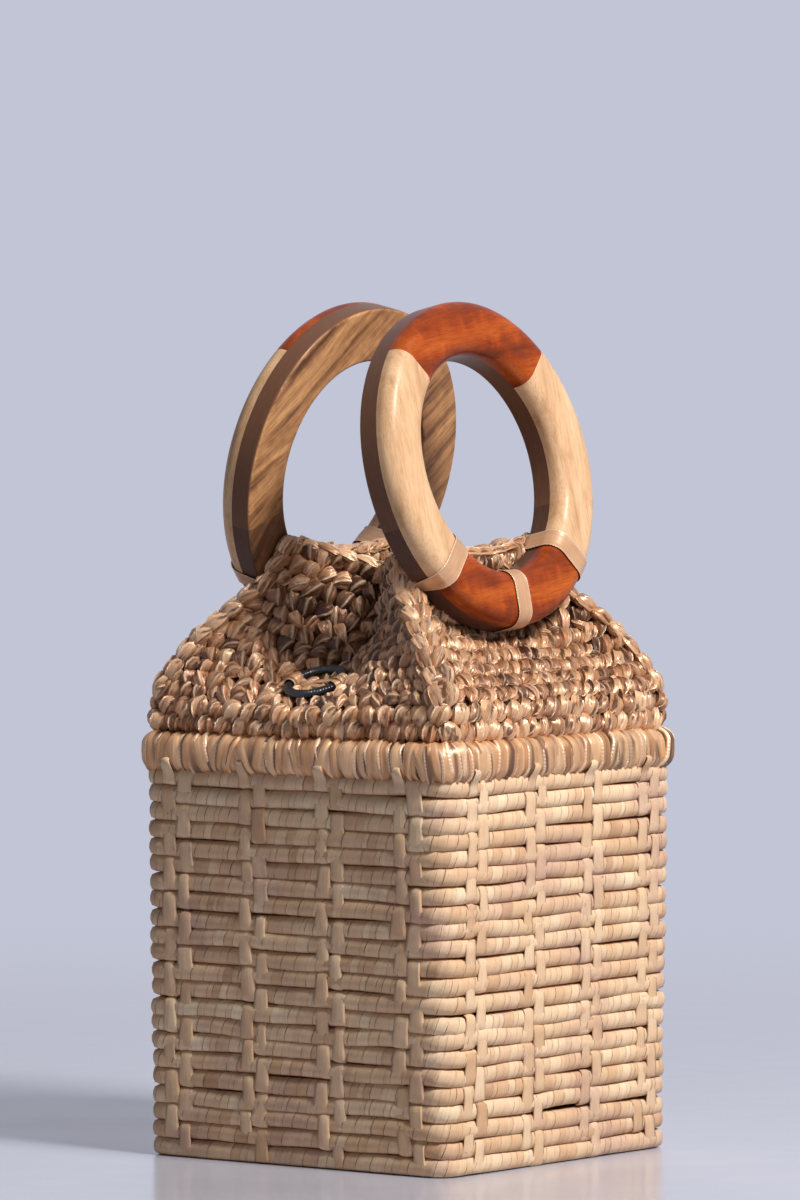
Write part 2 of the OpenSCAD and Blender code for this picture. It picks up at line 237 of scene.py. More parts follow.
@dataclass(frozen=True)
class StrawFinish:
    """Dry palm straw, in strips that differ from one to the next."""

    name: str
    along: float
    up: float
    line_depth: float
    laps: bool
    tone_spread: float = 0.5
    deep: Colour = screen(156, 114, 84)
    warm: Colour = screen(210, 168, 128)
    pale: Colour = screen(234, 200, 162)
    bleached: Colour = screen(244, 222, 188)
    stain: Colour = screen(198, 158, 138)
    lap_line: Colour = screen(92, 62, 42)
    cloud_scale: float = 70.0
    stain_scale: float = 30.0
    stain_most: float = 0.7
    streak_most: float = 0.2

    def make(self) -> bpy.types.Material:
        """Builds the straw: tone of each strip, fibres, stains, and a dark line where strips lap."""
        s = Shading(self.name)
        place = s.place()
        tone = s.attribute("tone")
        if self.laps:
            run = s.joined(s.attribute("along"), tone)
            lines = s.vectors("ADD", s.stretched(run, (self.along, 40, 0)), s.scaled(place, self.up))
        else:
            rise, across, _ = s.parts(s.uv())
            lines = s.stretched(s.joined(across, rise, tone), (self.along, self.up, 70))
        fibre = s.noise(lines, 1.0, 4.0, 0.7)
        cloudy = s.cloud(place, self.cloud_scale, 3.0, self.tone_spread)
        base = s.ramp(s.math("ADD", tone, cloudy), [
            (0.0, self.deep), (0.32, self.warm), (0.68, self.pale), (1.0, self.bleached)])
        patches = s.noise(place, self.stain_scale, 5.0, 0.65)
        stained = s.blend(s.levels(patches, 0.46, 0.7, 0.0, self.stain_most), base, self.stain)
        streaked = s.blend(s.levels(fibre, 0.3, 0.75, self.streak_most, 0.0), stained, self.deep)
        lined, height = streaked, fibre
        if self.laps:
            strong = s.levels(s.noise(place, 150.0, 2.0), 0.35, 0.65, 0.2, 1.0)
            lap = s.math("MULTIPLY", s.levels(s.attribute("lap"), 0.0, 0.1, 1.0, 0.0), strong)
            lined = s.blend(lap, streaked, self.lap_line)
            height = s.math("SUBTRACT", fibre, s.math("MULTIPLY", lap, 0.6))
        return s.finish(
            Base_Color=lined,
            Roughness=s.levels(fibre, 0.2, 0.8, 0.7, 0.52),
            Normal=s.bump(height, self.line_depth, 0.7),
            Specular_Ior_Level=0.3,
        )


@dataclass(frozen=True)
class RibbonFinish:
    """Satin ribbon with a paler stitched selvedge."""

    name: str
    # deep is the ramp's darkest tone and also the painted shade in the creases; light is its palest tone
    # and also the painted highlight on the crests.
    deep: Colour = screen(80, 48, 30)
    body: Colour = screen(188, 134, 94)
    light: Colour = screen(228, 182, 140)
    selvedge: Colour = screen(238, 206, 172)
    stitch_rows: float = 60.0
    gloss: float = 0.3
    shine: float = 0.45
    metal: float = 0.26
    gathers: float = 10.0
    # gathering scales the gathers' bump and their painted crease shade and crest highlight.
    gathering: float = 1.0
    threading: float = 1.0
    threads: float = 46.0
    cloud_scale: float = 120.0
    tone_spread: float = 0.4
    dot_height: float = 0.2

    def make(self) -> bpy.types.Material:
        """Builds the satin: loop tones, threads, dotted edges, painted shade in creases, painted highlight
        on crests.
        """
        s = Shading(self.name)
        along, across, _ = s.parts(s.uv())
        tone = s.attribute("tone")
        cloudy = s.cloud(s.place(), self.cloud_scale, 2.0, self.tone_spread)
        base = s.ramp(s.math("ADD", tone, cloudy), [
            (0.0, self.deep), (0.5, self.body), (1.0, self.light)])
        run = s.joined(along, across, tone)
        threads = s.noise(s.stretched(run, (3.0, self.threads, 30.0)), 1.0, 2.0)
        gather = s.noise(s.stretched(run, (1.6, self.gathers, 57.0)), 1.0, 2.0)
        # Painted shade in the creases of the gathers, painted highlight on their crests.
        crease = s.levels(gather, 0.34, 0.5, 0.85 * self.gathering, 0.0)
        crest_highlight = s.levels(gather, 0.54, 0.72, 0.0, 0.6 * self.gathering)
        crease_shade_and_highlight = s.blend(crest_highlight, s.blend(crease, base, self.deep), self.light)
        dots = s.math("SINE", s.math("MULTIPLY", along, self.stitch_rows * TURN))
        edge = s.levels(s.attribute("edge"), 0.55, 0.9)
        dotted = s.math("MULTIPLY", edge, s.levels(dots, -0.8, 0.6, 0.45, 1.0))
        coloured = s.blend(s.math("MULTIPLY", dotted, 0.8), crease_shade_and_highlight, self.selvedge)
        folds = s.math("MULTIPLY", gather, 2.0 * self.gathering)
        raised = s.math("MULTIPLY_ADD", threads, 0.3 * self.threading, folds)
        height = s.math("MULTIPLY_ADD", dotted, self.dot_height, raised)
        dull, bright = self.gloss + 0.12 * self.threading, self.gloss - 0.05 * self.threading
        return s.finish(
            Base_Color=coloured,
            Roughness=s.levels(threads, 0.3, 0.7, dull, bright),
            Normal=s.bump(height, 0.7, 0.8),
            Specular_Ior_Level=self.shine,
            Metallic=self.metal,
        )


@dataclass(frozen=True)
class WoodFinish:
    """Varnished wood with its grain in the plane of a ring."""

    name: str
    light: Colour
    body: Colour
    dark: Colour
    grain: float
    streaks: float
    bands: float
    end_grain: Colour | None = None
    gloss: float = 0.32
    soft: float = 0.26
    bowing: float = 0.02

    def make(self, ring: "RingPlace") -> bpy.types.Material:
        """Builds the wood on one ring.

        Args:
            ring: The ring whose plane the grain lies in.

        Returns:
            The material.
        """
        s = Shading(self.name + "_" + ring.name)
        turn = Matrix.Rotation(-math.radians(self.grain), 3, "Z") @ ring.turned().transposed()
        shift = -(turn @ (ring.middle() * MM))
        board = s.node("ShaderNodeMapping", {
            "Vector": s.place(), "Location": shift, "Rotation": turn.to_euler()}).outputs[0]
        bow = s.noise(s.stretched(board, (9, 26, 26)), 1.0, 2.0)
        warped = s.vectors("ADD", board, s.scaled(s.joined(0.0, bow, bow), self.bowing))
        year = s.node("ShaderNodeTexWave", {
            "Vector": s.stretched(warped, (6, 1, 1)), "Scale": self.bands, "Distortion": 2.5, "Detail": 3.0,
            "Detail Scale": 1.6}, bands_direction="Y").outputs["Fac"]
        figure = s.noise(s.stretched(warped, (14, 230, 230)), 1.0, 5.0, 0.62)
        pores = s.noise(s.stretched(board, (130, 2400, 2400)), 1.0, 3.0, 0.6)
        streaked = s.math("MULTIPLY", year, self.streaks)
        value = s.math("ADD", streaked, s.math("MULTIPLY", figure, 1 - self.streaks))
        base = s.ramp(value, [
            (0.5 - self.soft, self.dark), (0.5, self.body), (0.5 + self.soft, self.light)])
        lined = s.blend(s.levels(pores, 0.3, 0.56, 0.5, 0.0), base, self.dark)
        if self.end_grain:
            normal = s.node("ShaderNodeNewGeometry").outputs["Normal"]
            facing = s.node("ShaderNodeVectorMath", {0: normal, 1: ring.facing()}, operation="DOT_PRODUCT")
            edge = s.levels(s.math("ABSOLUTE", facing.outputs["Value"]), 0.35, 0.8, 1.0, 0.0)
            specks = s.noise(s.stretched(board, (160, 160, 1400)), 1.0, 2.0)
            speck = s.levels(specks, 0.25, 0.75, 0.0, 0.45)
            lined = s.blend(edge, lined, s.blend(speck, self.end_grain, self.dark))
        return s.finish(
            Base_Color=lined,
            Roughness=s.levels(pores, 0.3, 0.7, self.gloss + 0.12, self.gloss),
            Normal=s.bump(pores, 0.12, 0.25),
            Specular_Ior_Level=0.16,
            Coat_Weight=0.05,
            Coat_Roughness=0.15,
        )


@dataclass(frozen=True)
class CordFinish:
    """Black waxed cord wound round a ring."""

    name: str
    black: Colour = screen(6, 5, 5)
    worn: Colour = screen(40, 36, 35)

    def make(self) -> bpy.types.Material:
        """Builds the cord, with fine strands and dusty wear on its crests."""
        s = Shading(self.name)
        place = s.place()
        strands = s.noise(s.stretched(place, (900, 900, 900)), 1.0, 3.0)
        dust = s.levels(s.noise(place, 210.0, 4.0), 0.5, 0.8, 0.0, 0.6)
        return s.finish(
            Base_Color=s.blend(dust, self.black, self.worn),
            Roughness=s.levels(strands, 0.3, 0.7, 0.1, 0.2),
            Normal=s.bump(strands, 0.2, 0.7),
            Specular_Ior_Level=0.6,
            Coat_Weight=0.15,
            Coat_Roughness=0.1,
        )


@dataclass
class Shape:
    """A small mesh: points, faces, a UV for each face corner, and which points lie on a selvedge."""

    points: Array
    faces: list[tuple[int, ...]]
    corners: list[tuple[float, float]]
    edge: Array

    def to_object(self, name: str) -> bpy.types.Object:
        """Makes the shape a mesh object, with its faces pointing outwards."""
        made = mesh_object(name, self.points, self.faces, {"edge": self.edge})
        layer = made.data.uv_layers.new(name="UVMap")
        layer.data.foreach_set("uv", np.array(self.corners, np.float32).ravel())
        face_outwards(made.data)
        return made

    def dressed(self, name: str, tone: float, material: bpy.types.Material) -> bpy.types.Object:
        """Makes the shape a smooth piece, with one place on the colour ramp for all of it."""
        made = self.to_object(name)
        attribute = made.data.attributes.new("tone", "FLOAT", "POINT")
        attribute.data.foreach_set("value", np.full(len(made.data.vertices), tone, np.float32))
        made.data.shade_smooth()
        made.data.materials.append(material)
        return made


def placed(name: str, data: bpy.types.ID) -> bpy.types.Object:
    """Puts data into the scene, as an object at the origin."""
    made = bpy.data.objects.new(name, data)
    bpy.context.scene.collection.objects.link(made)
    return made


def mesh_object(name: str, points: Array, faces: list[tuple[int, ...]],
                values: dict[str, Array]) -> bpy.types.Object:
    """Makes a mesh object in the scene.

    Args:
        name: The object's name.
        points: Its points in millimetres.
        faces: Its faces, or none for bare points.
        values: Attributes on the points: whole numbers, numbers, or vectors.

    Returns:
        The object, at the origin.
    """
    mesh = bpy.data.meshes.new(name)
    mesh.from_pydata((np.asarray(points, float) * MM).tolist(), [], faces)
    for key, value in values.items():
        value = np.asarray(value)
        whole = np.issubdtype(value.dtype, np.integer)
        kind = "FLOAT_VECTOR" if value.ndim == 2 else "INT" if whole else "FLOAT"
        attribute = mesh.attributes.new(key, kind, "POINT")
        field_name = "vector" if value.ndim == 2 else "value"
        attribute.data.foreach_set(field_name, value.astype(np.int32 if whole else np.float32).ravel())
    mesh.update()
    return placed(name, mesh)


def face_outwards(mesh: bpy.types.Mesh) -> None:
    """Turns a closed mesh right side out."""
    mesh.calc_loop_triangles()
    points = np.empty(len(mesh.vertices) * 3, np.float32)
    mesh.vertices.foreach_get("co", points)
    corners = np.empty(len(mesh.loop_triangles) * 3, np.int32)
    mesh.loop_triangles.foreach_get("vertices", corners)
    a, b, c = (points.reshape(-1, 3)[corners.reshape(-1, 3)[:, k]] for k in range(3))
    if np.einsum("ij,ij->", a, np.cross(b, c)) < 0:
        mesh.flip_normals()


def skin(rings: Array, edge: Array, closed: bool = False) -> Shape:
    """Lays faces over rings of points.

    Args:
        rings: Points, by ring and by place in the ring.
        edge: For each place in a ring, how much it is a selvedge.
        closed: Whether the last ring joins the first, or both are capped.

    Returns:
        The shape.
    """
    runs, sides, _ = rings.shape
    last = runs if closed else runs - 1
    faces: list[tuple[int, ...]] = []
    corners: list[tuple[float, float]] = []
    for r in range(last):
        near, far = r * sides, (r + 1) % runs * sides
        for k in range(sides):
            n = (k + 1) % sides
            faces.append((near + k, near + n, far + n, far + k))
            corners += [(r / last, k / sides), (r / last, (k + 1) / sides),
                        ((r + 1) / last, (k + 1) / sides), ((r + 1) / last, k / sides)]
    if not closed:
        faces += [tuple(range(sides - 1, -1, -1)), tuple(range((runs - 1) * sides, runs * sides))]
        corners += [(0.0, 0.5)] * sides + [(1.0, 0.5)] * sides
    return Shape(rings.reshape(-1, 3), faces, corners, np.tile(edge, runs))


class PieceTree(Graph):
    """A Geometry Nodes tree with named inputs, run on bare points and kept as a plain mesh."""

    def __init__(self, name: str, inputs: dict[str, str]) -> None:
        """Makes the tree's sockets.

        Args:
            name: The tree's name.
            inputs: Each named input and its socket type, after NodeSocket.
        """
        super().__init__(bpy.data.node_groups.new(name, "GeometryNodeTree"))
        sockets = self.tree.interface
        sockets.new_socket("Geometry", in_out="OUTPUT", socket_type="NodeSocketGeometry")
        sockets.new_socket("Geometry", in_out="INPUT", socket_type="NodeSocketGeometry")
        self.ids = {
            key: sockets.new_socket(key, in_out="INPUT", socket_type="NodeSocket" + kind).identifier
            for key, kind in inputs.items()
        }
        self.given = self.node("NodeGroupInput").outputs

    def named(self, name: str, kind: str = "FLOAT") -> Socket:
        """A point attribute by its name."""
        made = self.node("GeometryNodeInputNamedAttribute", {"Name": name}, data_type=kind)
        return made.outputs["Attribute"]

    def position(self) -> Socket:
        """Where each point is."""
        return self.node("GeometryNodeInputPosition").outputs[0]

    def moved(self, geometry: Socket, offset: Socket) -> Socket:
        """The geometry with its points moved."""
        return self.node("GeometryNodeSetPosition", {"Geometry": geometry, "Offset": offset}).outputs[0]

    def close(self, geometry: Socket) -> None:
        """Ends the tree in realized, smooth faces with their material."""
        real = self.node("GeometryNodeRealizeInstances", {0: geometry})
        smooth = self.node("GeometryNodeSetShadeSmooth", {"Geometry": real.outputs[0]})
        dressed = self.node("GeometryNodeSetMaterial", {
            "Geometry": smooth.outputs[0], "Material": self.given["Material"]})
        self.node("NodeGroupOutput", {0: dressed.outputs[0]})

    def grow(self, name: str, points: Array, values: dict[str, Array], settings: dict) -> bpy.types.Object:
        """Runs the tree on points.

        Args:
            name: The finished piece's name.
            points: The points in millimetres.
            values: The points' attributes.
            settings: A value for each named input.

        Returns:
            The piece, as a plain mesh.
        """
        carrier = mesh_object(name + "_points", points, [], values)
        modifier = carrier.modifiers.new(name, "NODES")
        modifier.node_group = self.tree
        for key, value in settings.items():
            modifier[self.ids[key]] = value
        graph = bpy.context.evaluated_depsgraph_get()
        mesh = bpy.data.meshes.new_from_object(
            carrier.evaluated_get(graph), preserve_all_data_layers=True, depsgraph=graph)
        carrier.modifiers.remove(modifier)
        bpy.data.objects.remove(carrier)
        face_outwards(mesh)
        mesh.name = name
        return placed(name, mesh)


class CoilTree(PieceTree):
    """Sweeps a soft oblong section along rows of points, with laps slanted by the wrapping."""

    def __init__(self) -> None:
        """Builds the tree."""
        super().__init__("wrapped_coils", {
            "Material": "Material", "Depth": "Float", "Height": "Float", "Rounding": "Float",
            "Slant": "Float", "Closed": "Bool"})
        given = self.given
        dots = self.node("GeometryNodeMeshToPoints", {"Mesh": given["Geometry"]})
        rows = self.node("GeometryNodePointsToCurves", {
            "Points": dots.outputs[0], "Curve Group ID": self.named("row", "INT"),
            "Weight": self.named("order")})
        loops = self.node("GeometryNodeSetSplineCyclic", {
            "Geometry": rows.outputs[0], "Cyclic": given["Closed"]})
        level = self.node("GeometryNodeSetCurveNormal", {0: loops.outputs[0]}, mode="Z_UP")
        hub = self.store(level.outputs[0], "hub", self.position())
        run = self.store(hub, "run", self.node("GeometryNodeInputTangent").outputs[0])
        box = self.node("GeometryNodeCurvePrimitiveQuadrilateral", {
            "Width": given["Depth"], "Height": given["Height"]})
        oblong = self.node("GeometryNodeFilletCurve", {
            "Curve": box.outputs[0], "Count": 2, "Radius": given["Rounding"]}, mode="POLY")
        tube = self.node("GeometryNodeCurveToMesh", {
            "Curve": run, "Profile Curve": oblong.outputs[0], "Scale": self.named("girth"),
            "Fill Caps": self.math("SUBTRACT", 1.0, given["Closed"])})
        from_hub = self.vectors("SUBTRACT", self.position(), self.named("hub", "FLOAT_VECTOR"))
        _, _, height = self.parts(from_hub)
        slant = self.math("MULTIPLY", height, given["Slant"])
        self.close(self.moved(tube.outputs[0], self.scaled(self.named("run", "FLOAT_VECTOR"), slant)))

    def store(self, geometry: Socket, name: str, value: Socket) -> Socket:
        """Keeps a vector on the points under a name."""
        return self.node("GeometryNodeStoreNamedAttribute", {
            "Geometry": geometry, "Name": name, "Value": value}, data_type="FLOAT_VECTOR").outputs[0]


class LaidTree(PieceTree):
    """Lays shapes on points that say how each one lies, its size and its kind, a little unevenly."""

    def __init__(self) -> None:
        """Builds the tree."""
        super().__init__("laid_shapes", {
            "Material": "Material", "Shapes": "Collection", "Turn spread": "Float", "Size spread": "Float",
            "Ruffle": "Float", "Ruffle scale": "Float", "Seed": "Int"})
        given = self.given
        kinds = self.node("GeometryNodeCollectionInfo", {
            "Collection": given["Shapes"], "Separate Children": True, "Reset Children": True})
        lie = self.node("FunctionNodeEulerToRotation", {0: self.named("lie", "FLOAT_VECTOR")})
        spin = self.node("FunctionNodeEulerToRotation", {0: self.spread(given["Turn spread"], 0)})
        turned = self.node("FunctionNodeRotateRotation", {0: lie.outputs[0], 1: spin.outputs[0]},
                           rotation_space="LOCAL")
        grown = self.vectors("ADD", self.spread(given["Size spread"], 1), (1.0, 1.0, 1.0))
        size = self.vectors("MULTIPLY", self.named("size", "FLOAT_VECTOR"), grown)
        laid = self.node("GeometryNodeInstanceOnPoints", {
            "Points": given["Geometry"], "Instance": kinds.outputs[0], "Pick Instance": True,
            "Instance Index": self.named("kind", "INT"), "Rotation": turned.outputs[0], "Scale": size})
        real = self.node("GeometryNodeRealizeInstances", {0: laid.outputs[0]})
        wander = self.node("ShaderNodeTexNoise", {
            "Vector": self.position(), "W": given["Seed"], "Scale": given["Ruffle scale"], "Detail": 2.0},
            noise_dimensions="4D").outputs["Color"]
        ruffle = self.scaled(self.vectors("SUBTRACT", wander, (0.5, 0.5, 0.5)), given["Ruffle"])
        self.close(self.moved(real.outputs[0], ruffle))

    def spread(self, amount: Socket, step: int) -> Socket:
        """Random vector of up to an amount each way, from the seed input and a step."""
        low = self.math("MULTIPLY", amount, -1.0)
        seed = self.math("ADD", self.given["Seed"], float(step))
        return self.node("FunctionNodeRandomValue", {
            0: self.joined(low, low, low), 1: self.joined(amount, amount, amount), "Seed": seed},
            data_type="FLOAT_VECTOR").outputs[0]


@dataclass
class Laying:
    """Points on which shapes are laid: where, how each lies, its size, its kind and its tone."""

    spots: list[Array] = field(default_factory=list)
    lies: list[tuple[float, ...]] = field(default_factory=list)
    sizes: list[tuple[float, float, float]] = field(default_factory=list)
    kinds: list[int] = field(default_factory=list)
    tones: list[float] = field(default_factory=list)

    def add(self, spot: Array, axes: Matrix, size: tuple[float, float, float], kind: int,
            tone: float) -> None:
        """Adds one shape.

        Args:
            spot: Where it lies, in millimetres.
            axes: Its own X, Y and Z as the columns of a rotation.
            size: Its scale along them.
            kind: Which of the shapes it is.
            tone: Its place on the colour ramp.
        """
        self.spots.append(spot)
        self.lies.append(tuple(axes.to_euler()))
        self.sizes.append(size)
        self.kinds.append(kind)
        self.tones.append(tone)

    def grow(self, tree: LaidTree, name: str, shapes: list[Shape], material: bpy.types.Material,
             seed: int, turn: float = 0.0, size: float = 0.0, ruffle: float = 0.0,
             ruffle_scale: float = 180.0, crisp: float = 180.0) -> bpy.types.Object:
        """Lays the shapes.

        Args:
            tree: The tree that lays them.
            name: The piece's name.
            shapes: The kinds of shape.
            material: Its finish.
            seed: Start of the random spread.
            turn: Largest random turn, in degrees.
            size: Largest random share of size.
            ruffle: Random shift of every point, in millimetres.
            ruffle_scale: How close together the ruffles are.
            crisp: Angle past which a fold stays sharp, in degrees.

        Returns:
            The piece.
        """
        group = bpy.data.collections.new(name + "_shapes")
        bpy.context.scene.collection.children.link(group)
        for place, shape in enumerate(shapes):
            made = shape.to_object(f"{name}_{place:02d}")
            bpy.context.scene.collection.objects.unlink(made)
            group.objects.link(made)
        values = {
            "lie": np.array(self.lies), "size": np.array(self.sizes),
            "kind": np.array(self.kinds, np.int32), "tone": np.array(self.tones)}
        piece = tree.grow(name, np.array(self.spots), values, {
            "Material": material, "Shapes": group, "Turn spread": math.radians(turn), "Size spread": size,
            "Ruffle": ruffle * MM, "Ruffle scale": ruffle_scale, "Seed": seed})
        for made in list(group.objects):
            bpy.data.objects.remove(made)
        bpy.data.collections.remove(group)
        piece.data.set_sharp_from_angle(angle=math.radians(crisp))
        return piece


def axes_of(x: Array, y: Array) -> Matrix:
    """Rotation whose X is x and whose Y is as near y as it can be."""
    across = Vector(x).normalized()
    out = across.cross(Vector(y)).normalized()
    return Matrix((across, out.cross(across), out)).transposed()


def about(axes: Matrix, angle: float, axis: str = "Z") -> Matrix:
    """A rotation turned by degrees about one of its own axes."""
    return axes @ Matrix.Rotation(math.radians(angle), 3, axis)


def some_tone(draw: np.random.Generator, middle: float, spread: float) -> float:
    """A random place on a colour ramp, about a middle."""
    return float(np.clip(draw.normal(middle, spread), 0, 1))


def run_along(line: Array) -> Array:
    """Distance along a line at each of its points."""
    return np.concatenate([[0], np.cumsum(np.linalg.norm(np.diff(line, axis=0), axis=1))])


def points_at(wanted: Array, run: Array, line: Array) -> Array:
    """Points of a line at the wanted distances along it."""
    return np.stack([np.interp(wanted, run, values) for values in line.T], -1)


def lifted(spot: Array, face: Array, height: Array, across: Array) -> Array:
    """Rings of points over a section.

    Args:
        spot: The section's points, as X and Z.
        face: Outward directions at them.
        height: How far each place in a ring stands out.
        across: Y of each place in each ring.

    Returns:
        The points, by ring and by place in the ring.
    """
    x, z = (spot[:, None, k] + face[:, None, k] * height for k in range(2))
    return np.stack([x, across, z], -1)


@dataclass(frozen=True)
class Wander:
    """A smooth closed wander, the same each time for the same seed."""

    seed: int
    size: float
    turns: int = 14

    def at(self, share: Array) -> Array:
        """The wander at shares of the way round."""
        draw = np.random.default_rng(self.seed)
        count = np.arange(1, self.turns + 1)
        strength = draw.normal(size=self.turns) / np.sqrt(count)
        phase = draw.uniform(0, TURN, self.turns)
        waves = np.sin(TURN * np.multiply.outer(share, count) + phase)
        return self.size * (waves @ strength) / math.sqrt(np.sum(1 / count) / 2)


@dataclass(frozen=True)
class BoxPath:
    """The closed way round the basket: four sides joined by quarter bends."""

    corner_at: float = CORNER_AT

    def length(self, out: float) -> float:
        """Length of the way, at a distance out from the corner centres."""
        return 8 * self.corner_at + TURN * out

    def at(self, share: Array, out: Array, reach: float = 0.0) -> tuple[Array, Array]:
        """Points and outward directions on the way.

        Args:
            share: Shares of the way round.
            out: Distance out from the corner centres.
            reach: Further distance at which the shares are even.

        Returns:
            The points in plan, and the directions in plan.
        """
        share = np.asarray(share, float)
        bend = np.mean(out) + reach
        quarter = self.length(bend) / 4
        side = np.floor(share % 1 * 4)
        rest = (share % 1) * 4 * quarter - side * quarter
        angle = np.maximum(0, rest - 2 * self.corner_at) / bend
        along = np.minimum(rest, 2 * self.corner_at) - self.corner_at
        turned = angle + side * TURN / 4
        face = np.stack([np.cos(turned), np.sin(turned)], -1)
        cos, sin = np.cos(side * TURN / 4), np.sin(side * TURN / 4)
        x, y = np.full_like(along, self.corner_at), along
        spot = np.stack([x * cos - y * sin, x * sin + y * cos], -1)
        return spot + np.asarray(out)[..., None] * face, face


@dataclass
class CoiledBasket:
    """The straw box: wrapped coils, a base of coils, and staggered pairs of straw stitches."""

    path: BoxPath = field(default_factory=BoxPath)
    coils: int = 22
    pitch: float = 8.0
    depth: float = 9.4
    height: float = 8.35
    rounding: float = 3.1
    corner_in: float = 1.5
    flare: float = 2.0
    foot: float = 4.3
    wrap_width: float = 5.6
    lap: float = 0.024
    stitch_width: float = 8.2
    pairs: int = 4
    pair_inset: float = 9.8
    column_pitch: float = 8.4
    base_rows: int = 20
    base_span: float = 162.6
    base_r: float = 4.1
    wall_slant: float = 0.32
    base_slant: float = 0.1
    stray_up: float = 0.5
    stray_out: float = 0.22
    floor_room: float = 0.25

    def out(self, row: float) -> float:
        """Distance of a coil's middle out from the corner centres."""
        return self.corner_in + self.depth / 2 + self.flare * row / (self.coils - 1)

    def rise(self, row: float) -> float:
        """Height of a coil's middle."""
        return self.foot + self.pitch * row

    def drift(self, row: int, share: Array) -> tuple[Array, Array]:
        """How far a coil strays up and out, along its way."""
        room = self.floor_room if row == 0 else 1.0
        up = Wander(100 + row, self.stray_up * room).at(share)
        return up, Wander(200 + row, self.stray_out).at(share)

    def wraps(self, length: float, seed: int) -> tuple[Array, Array, Array, Array]:
        """Rings along a coil, two to a wrap of straw.

        Args:
            length: The coil's length.
            seed: Start of the random widths and tones.

        Returns:
            Shares of the way, girths, places within a lap, and tones.
        """
        draw = np.random.default_rng(seed)
        count = round(length / self.wrap_width)
        width = draw.uniform(0.4, 1.6, count)
        start = np.concatenate([[0], np.cumsum(width)]) / width.sum()
        tone = np.clip(draw.normal(0.56, 0.08) + draw.normal(0, 0.1, count), 0, 1)
        rise = self.lap * draw.uniform(0.4, 1.4, count)
        place = np.array([0.04, 0.94])
        share = start[:-1, None] + place * np.diff(start)[:, None]
        girth = 1 + rise[:, None] * np.array([1.0, 0.0])
        lap = np.tile([0.0, 1.0], (count, 1))
        return share.ravel(), girth.ravel(), lap.ravel(), np.repeat(tone, 2)

    def sweep(self, tree: CoilTree, name: str, parts: list[Array], settings: dict) -> bpy.types.Object:
        """Sweeps coils and keeps them above the floor.

        Args:
            tree: The tree that sweeps them.
            name: The piece's name.
            parts: Columns for each coil: spot, row, order, girth, lap, tone and distance along.
            settings: A value for each named input of the tree.

        Returns:
            The piece.
        """
        rows = np.concatenate(parts)
        row, order, girth, lap, tone, along = rows[:, 3:].T
        return self.on_floor(tree.grow(name, rows[:, :3], {
            "row": row.astype(np.int32), "order": order, "girth": girth, "lap": lap, "tone": tone,
            "along": along * MM}, settings))

    def build_wall(self, tree: CoilTree, straw: bpy.types.Material) -> bpy.types.Object:
        """Sweeps the coils of the wall."""
        parts = []
        for row in range(self.coils):
            out = self.out(row)
            share, girth, lap, tone = self.wraps(self.path.length(out + self.depth / 2), 1000 + row)
            up, away = self.drift(row, share)
            spot, _ = self.path.at(share, out + away, self.depth / 2)
            girth = girth * (1 + Wander(300 + row, 0.012).at(share))
            parts.append(np.column_stack([
                spot, self.rise(row) + up, np.full(len(share), row), share, girth, lap, tone,
                share * self.path.length(out)]))
        return self.sweep(tree, "basket_coils", parts, {
            "Material": straw, "Depth": self.depth * MM, "Height": self.height * MM,
            "Rounding": self.rounding * MM, "Slant": self.wall_slant, "Closed": True})

    def build_base(self, tree: CoilTree, straw: bpy.types.Material) -> bpy.types.Object:
        """Sweeps the straight coils of the base."""
        parts = []
        for row in range(1, self.base_rows):
            share, girth, lap, tone = self.wraps(self.base_span, 2000 + row)
            y = row * self.base_span / self.base_rows - self.base_span / 2
            x = (share - 0.5) * self.base_span
            parts.append(np.column_stack([
                x, np.full_like(x, y), np.full_like(x, self.foot), np.full_like(x, row), share, girth, lap,
                tone, share * self.base_span]))
        return self.sweep(tree, "basket_base", parts, {
            "Material": straw, "Depth": 2 * self.base_r * MM, "Height": 2 * (self.base_r - 0.2) * MM,
            "Rounding": 0.7 * self.base_r * MM, "Slant": self.base_slant, "Closed": False})

    def on_floor(self, piece: bpy.types.Object) -> bpy.types.Object:
        """Flattens a piece where it would reach under the floor, and gives it back."""
        points = np.empty(len(piece.data.vertices) * 3, np.float32)
        piece.data.vertices.foreach_get("co", points)
        points[2::3] = np.maximum(points[2::3], 0)
        piece.data.vertices.foreach_set("co", points)
        return piece

    def strip(self, line: Array, seed: int, taper: tuple[float, float], slant: float) -> Shape:
        """A strip of straw over a line.

        Args:
            line: Points of (out, up, share of width) from foot to tip.
            seed: Start of the random creases.
            taper: Width at the foot and at the tip, as shares.
            slant: How far the tip stands to one side.

        Returns:
            The strip, with X outwards, Y across and Z up.
        """
        draw = np.random.default_rng(seed)
        across = np.array([-0.5, -0.33, 0.02, 0.33, 0.5, 0.36, -0.36])
        crown = np.array([-0.3, 0.04, 0.16, 0.02, -0.32, -0.9, -0.9])
        crown[:5] += draw.normal(0, 0.09, 5)
        share = np.linspace(0, 1, len(line))
        tangent = unit(np.gradient(line[:, :2], axis=0))
        normal = np.stack([tangent[:, 1], -tangent[:, 0]], -1)
        width = self.stitch_width * line[:, 2] * mix(taper[0], taper[1], share)
        sideways = width[:, None] * across + (slant * (share - 0.5))[:, None]
        return skin(lifted(line, normal, crown, sideways), np.zeros(len(across)))

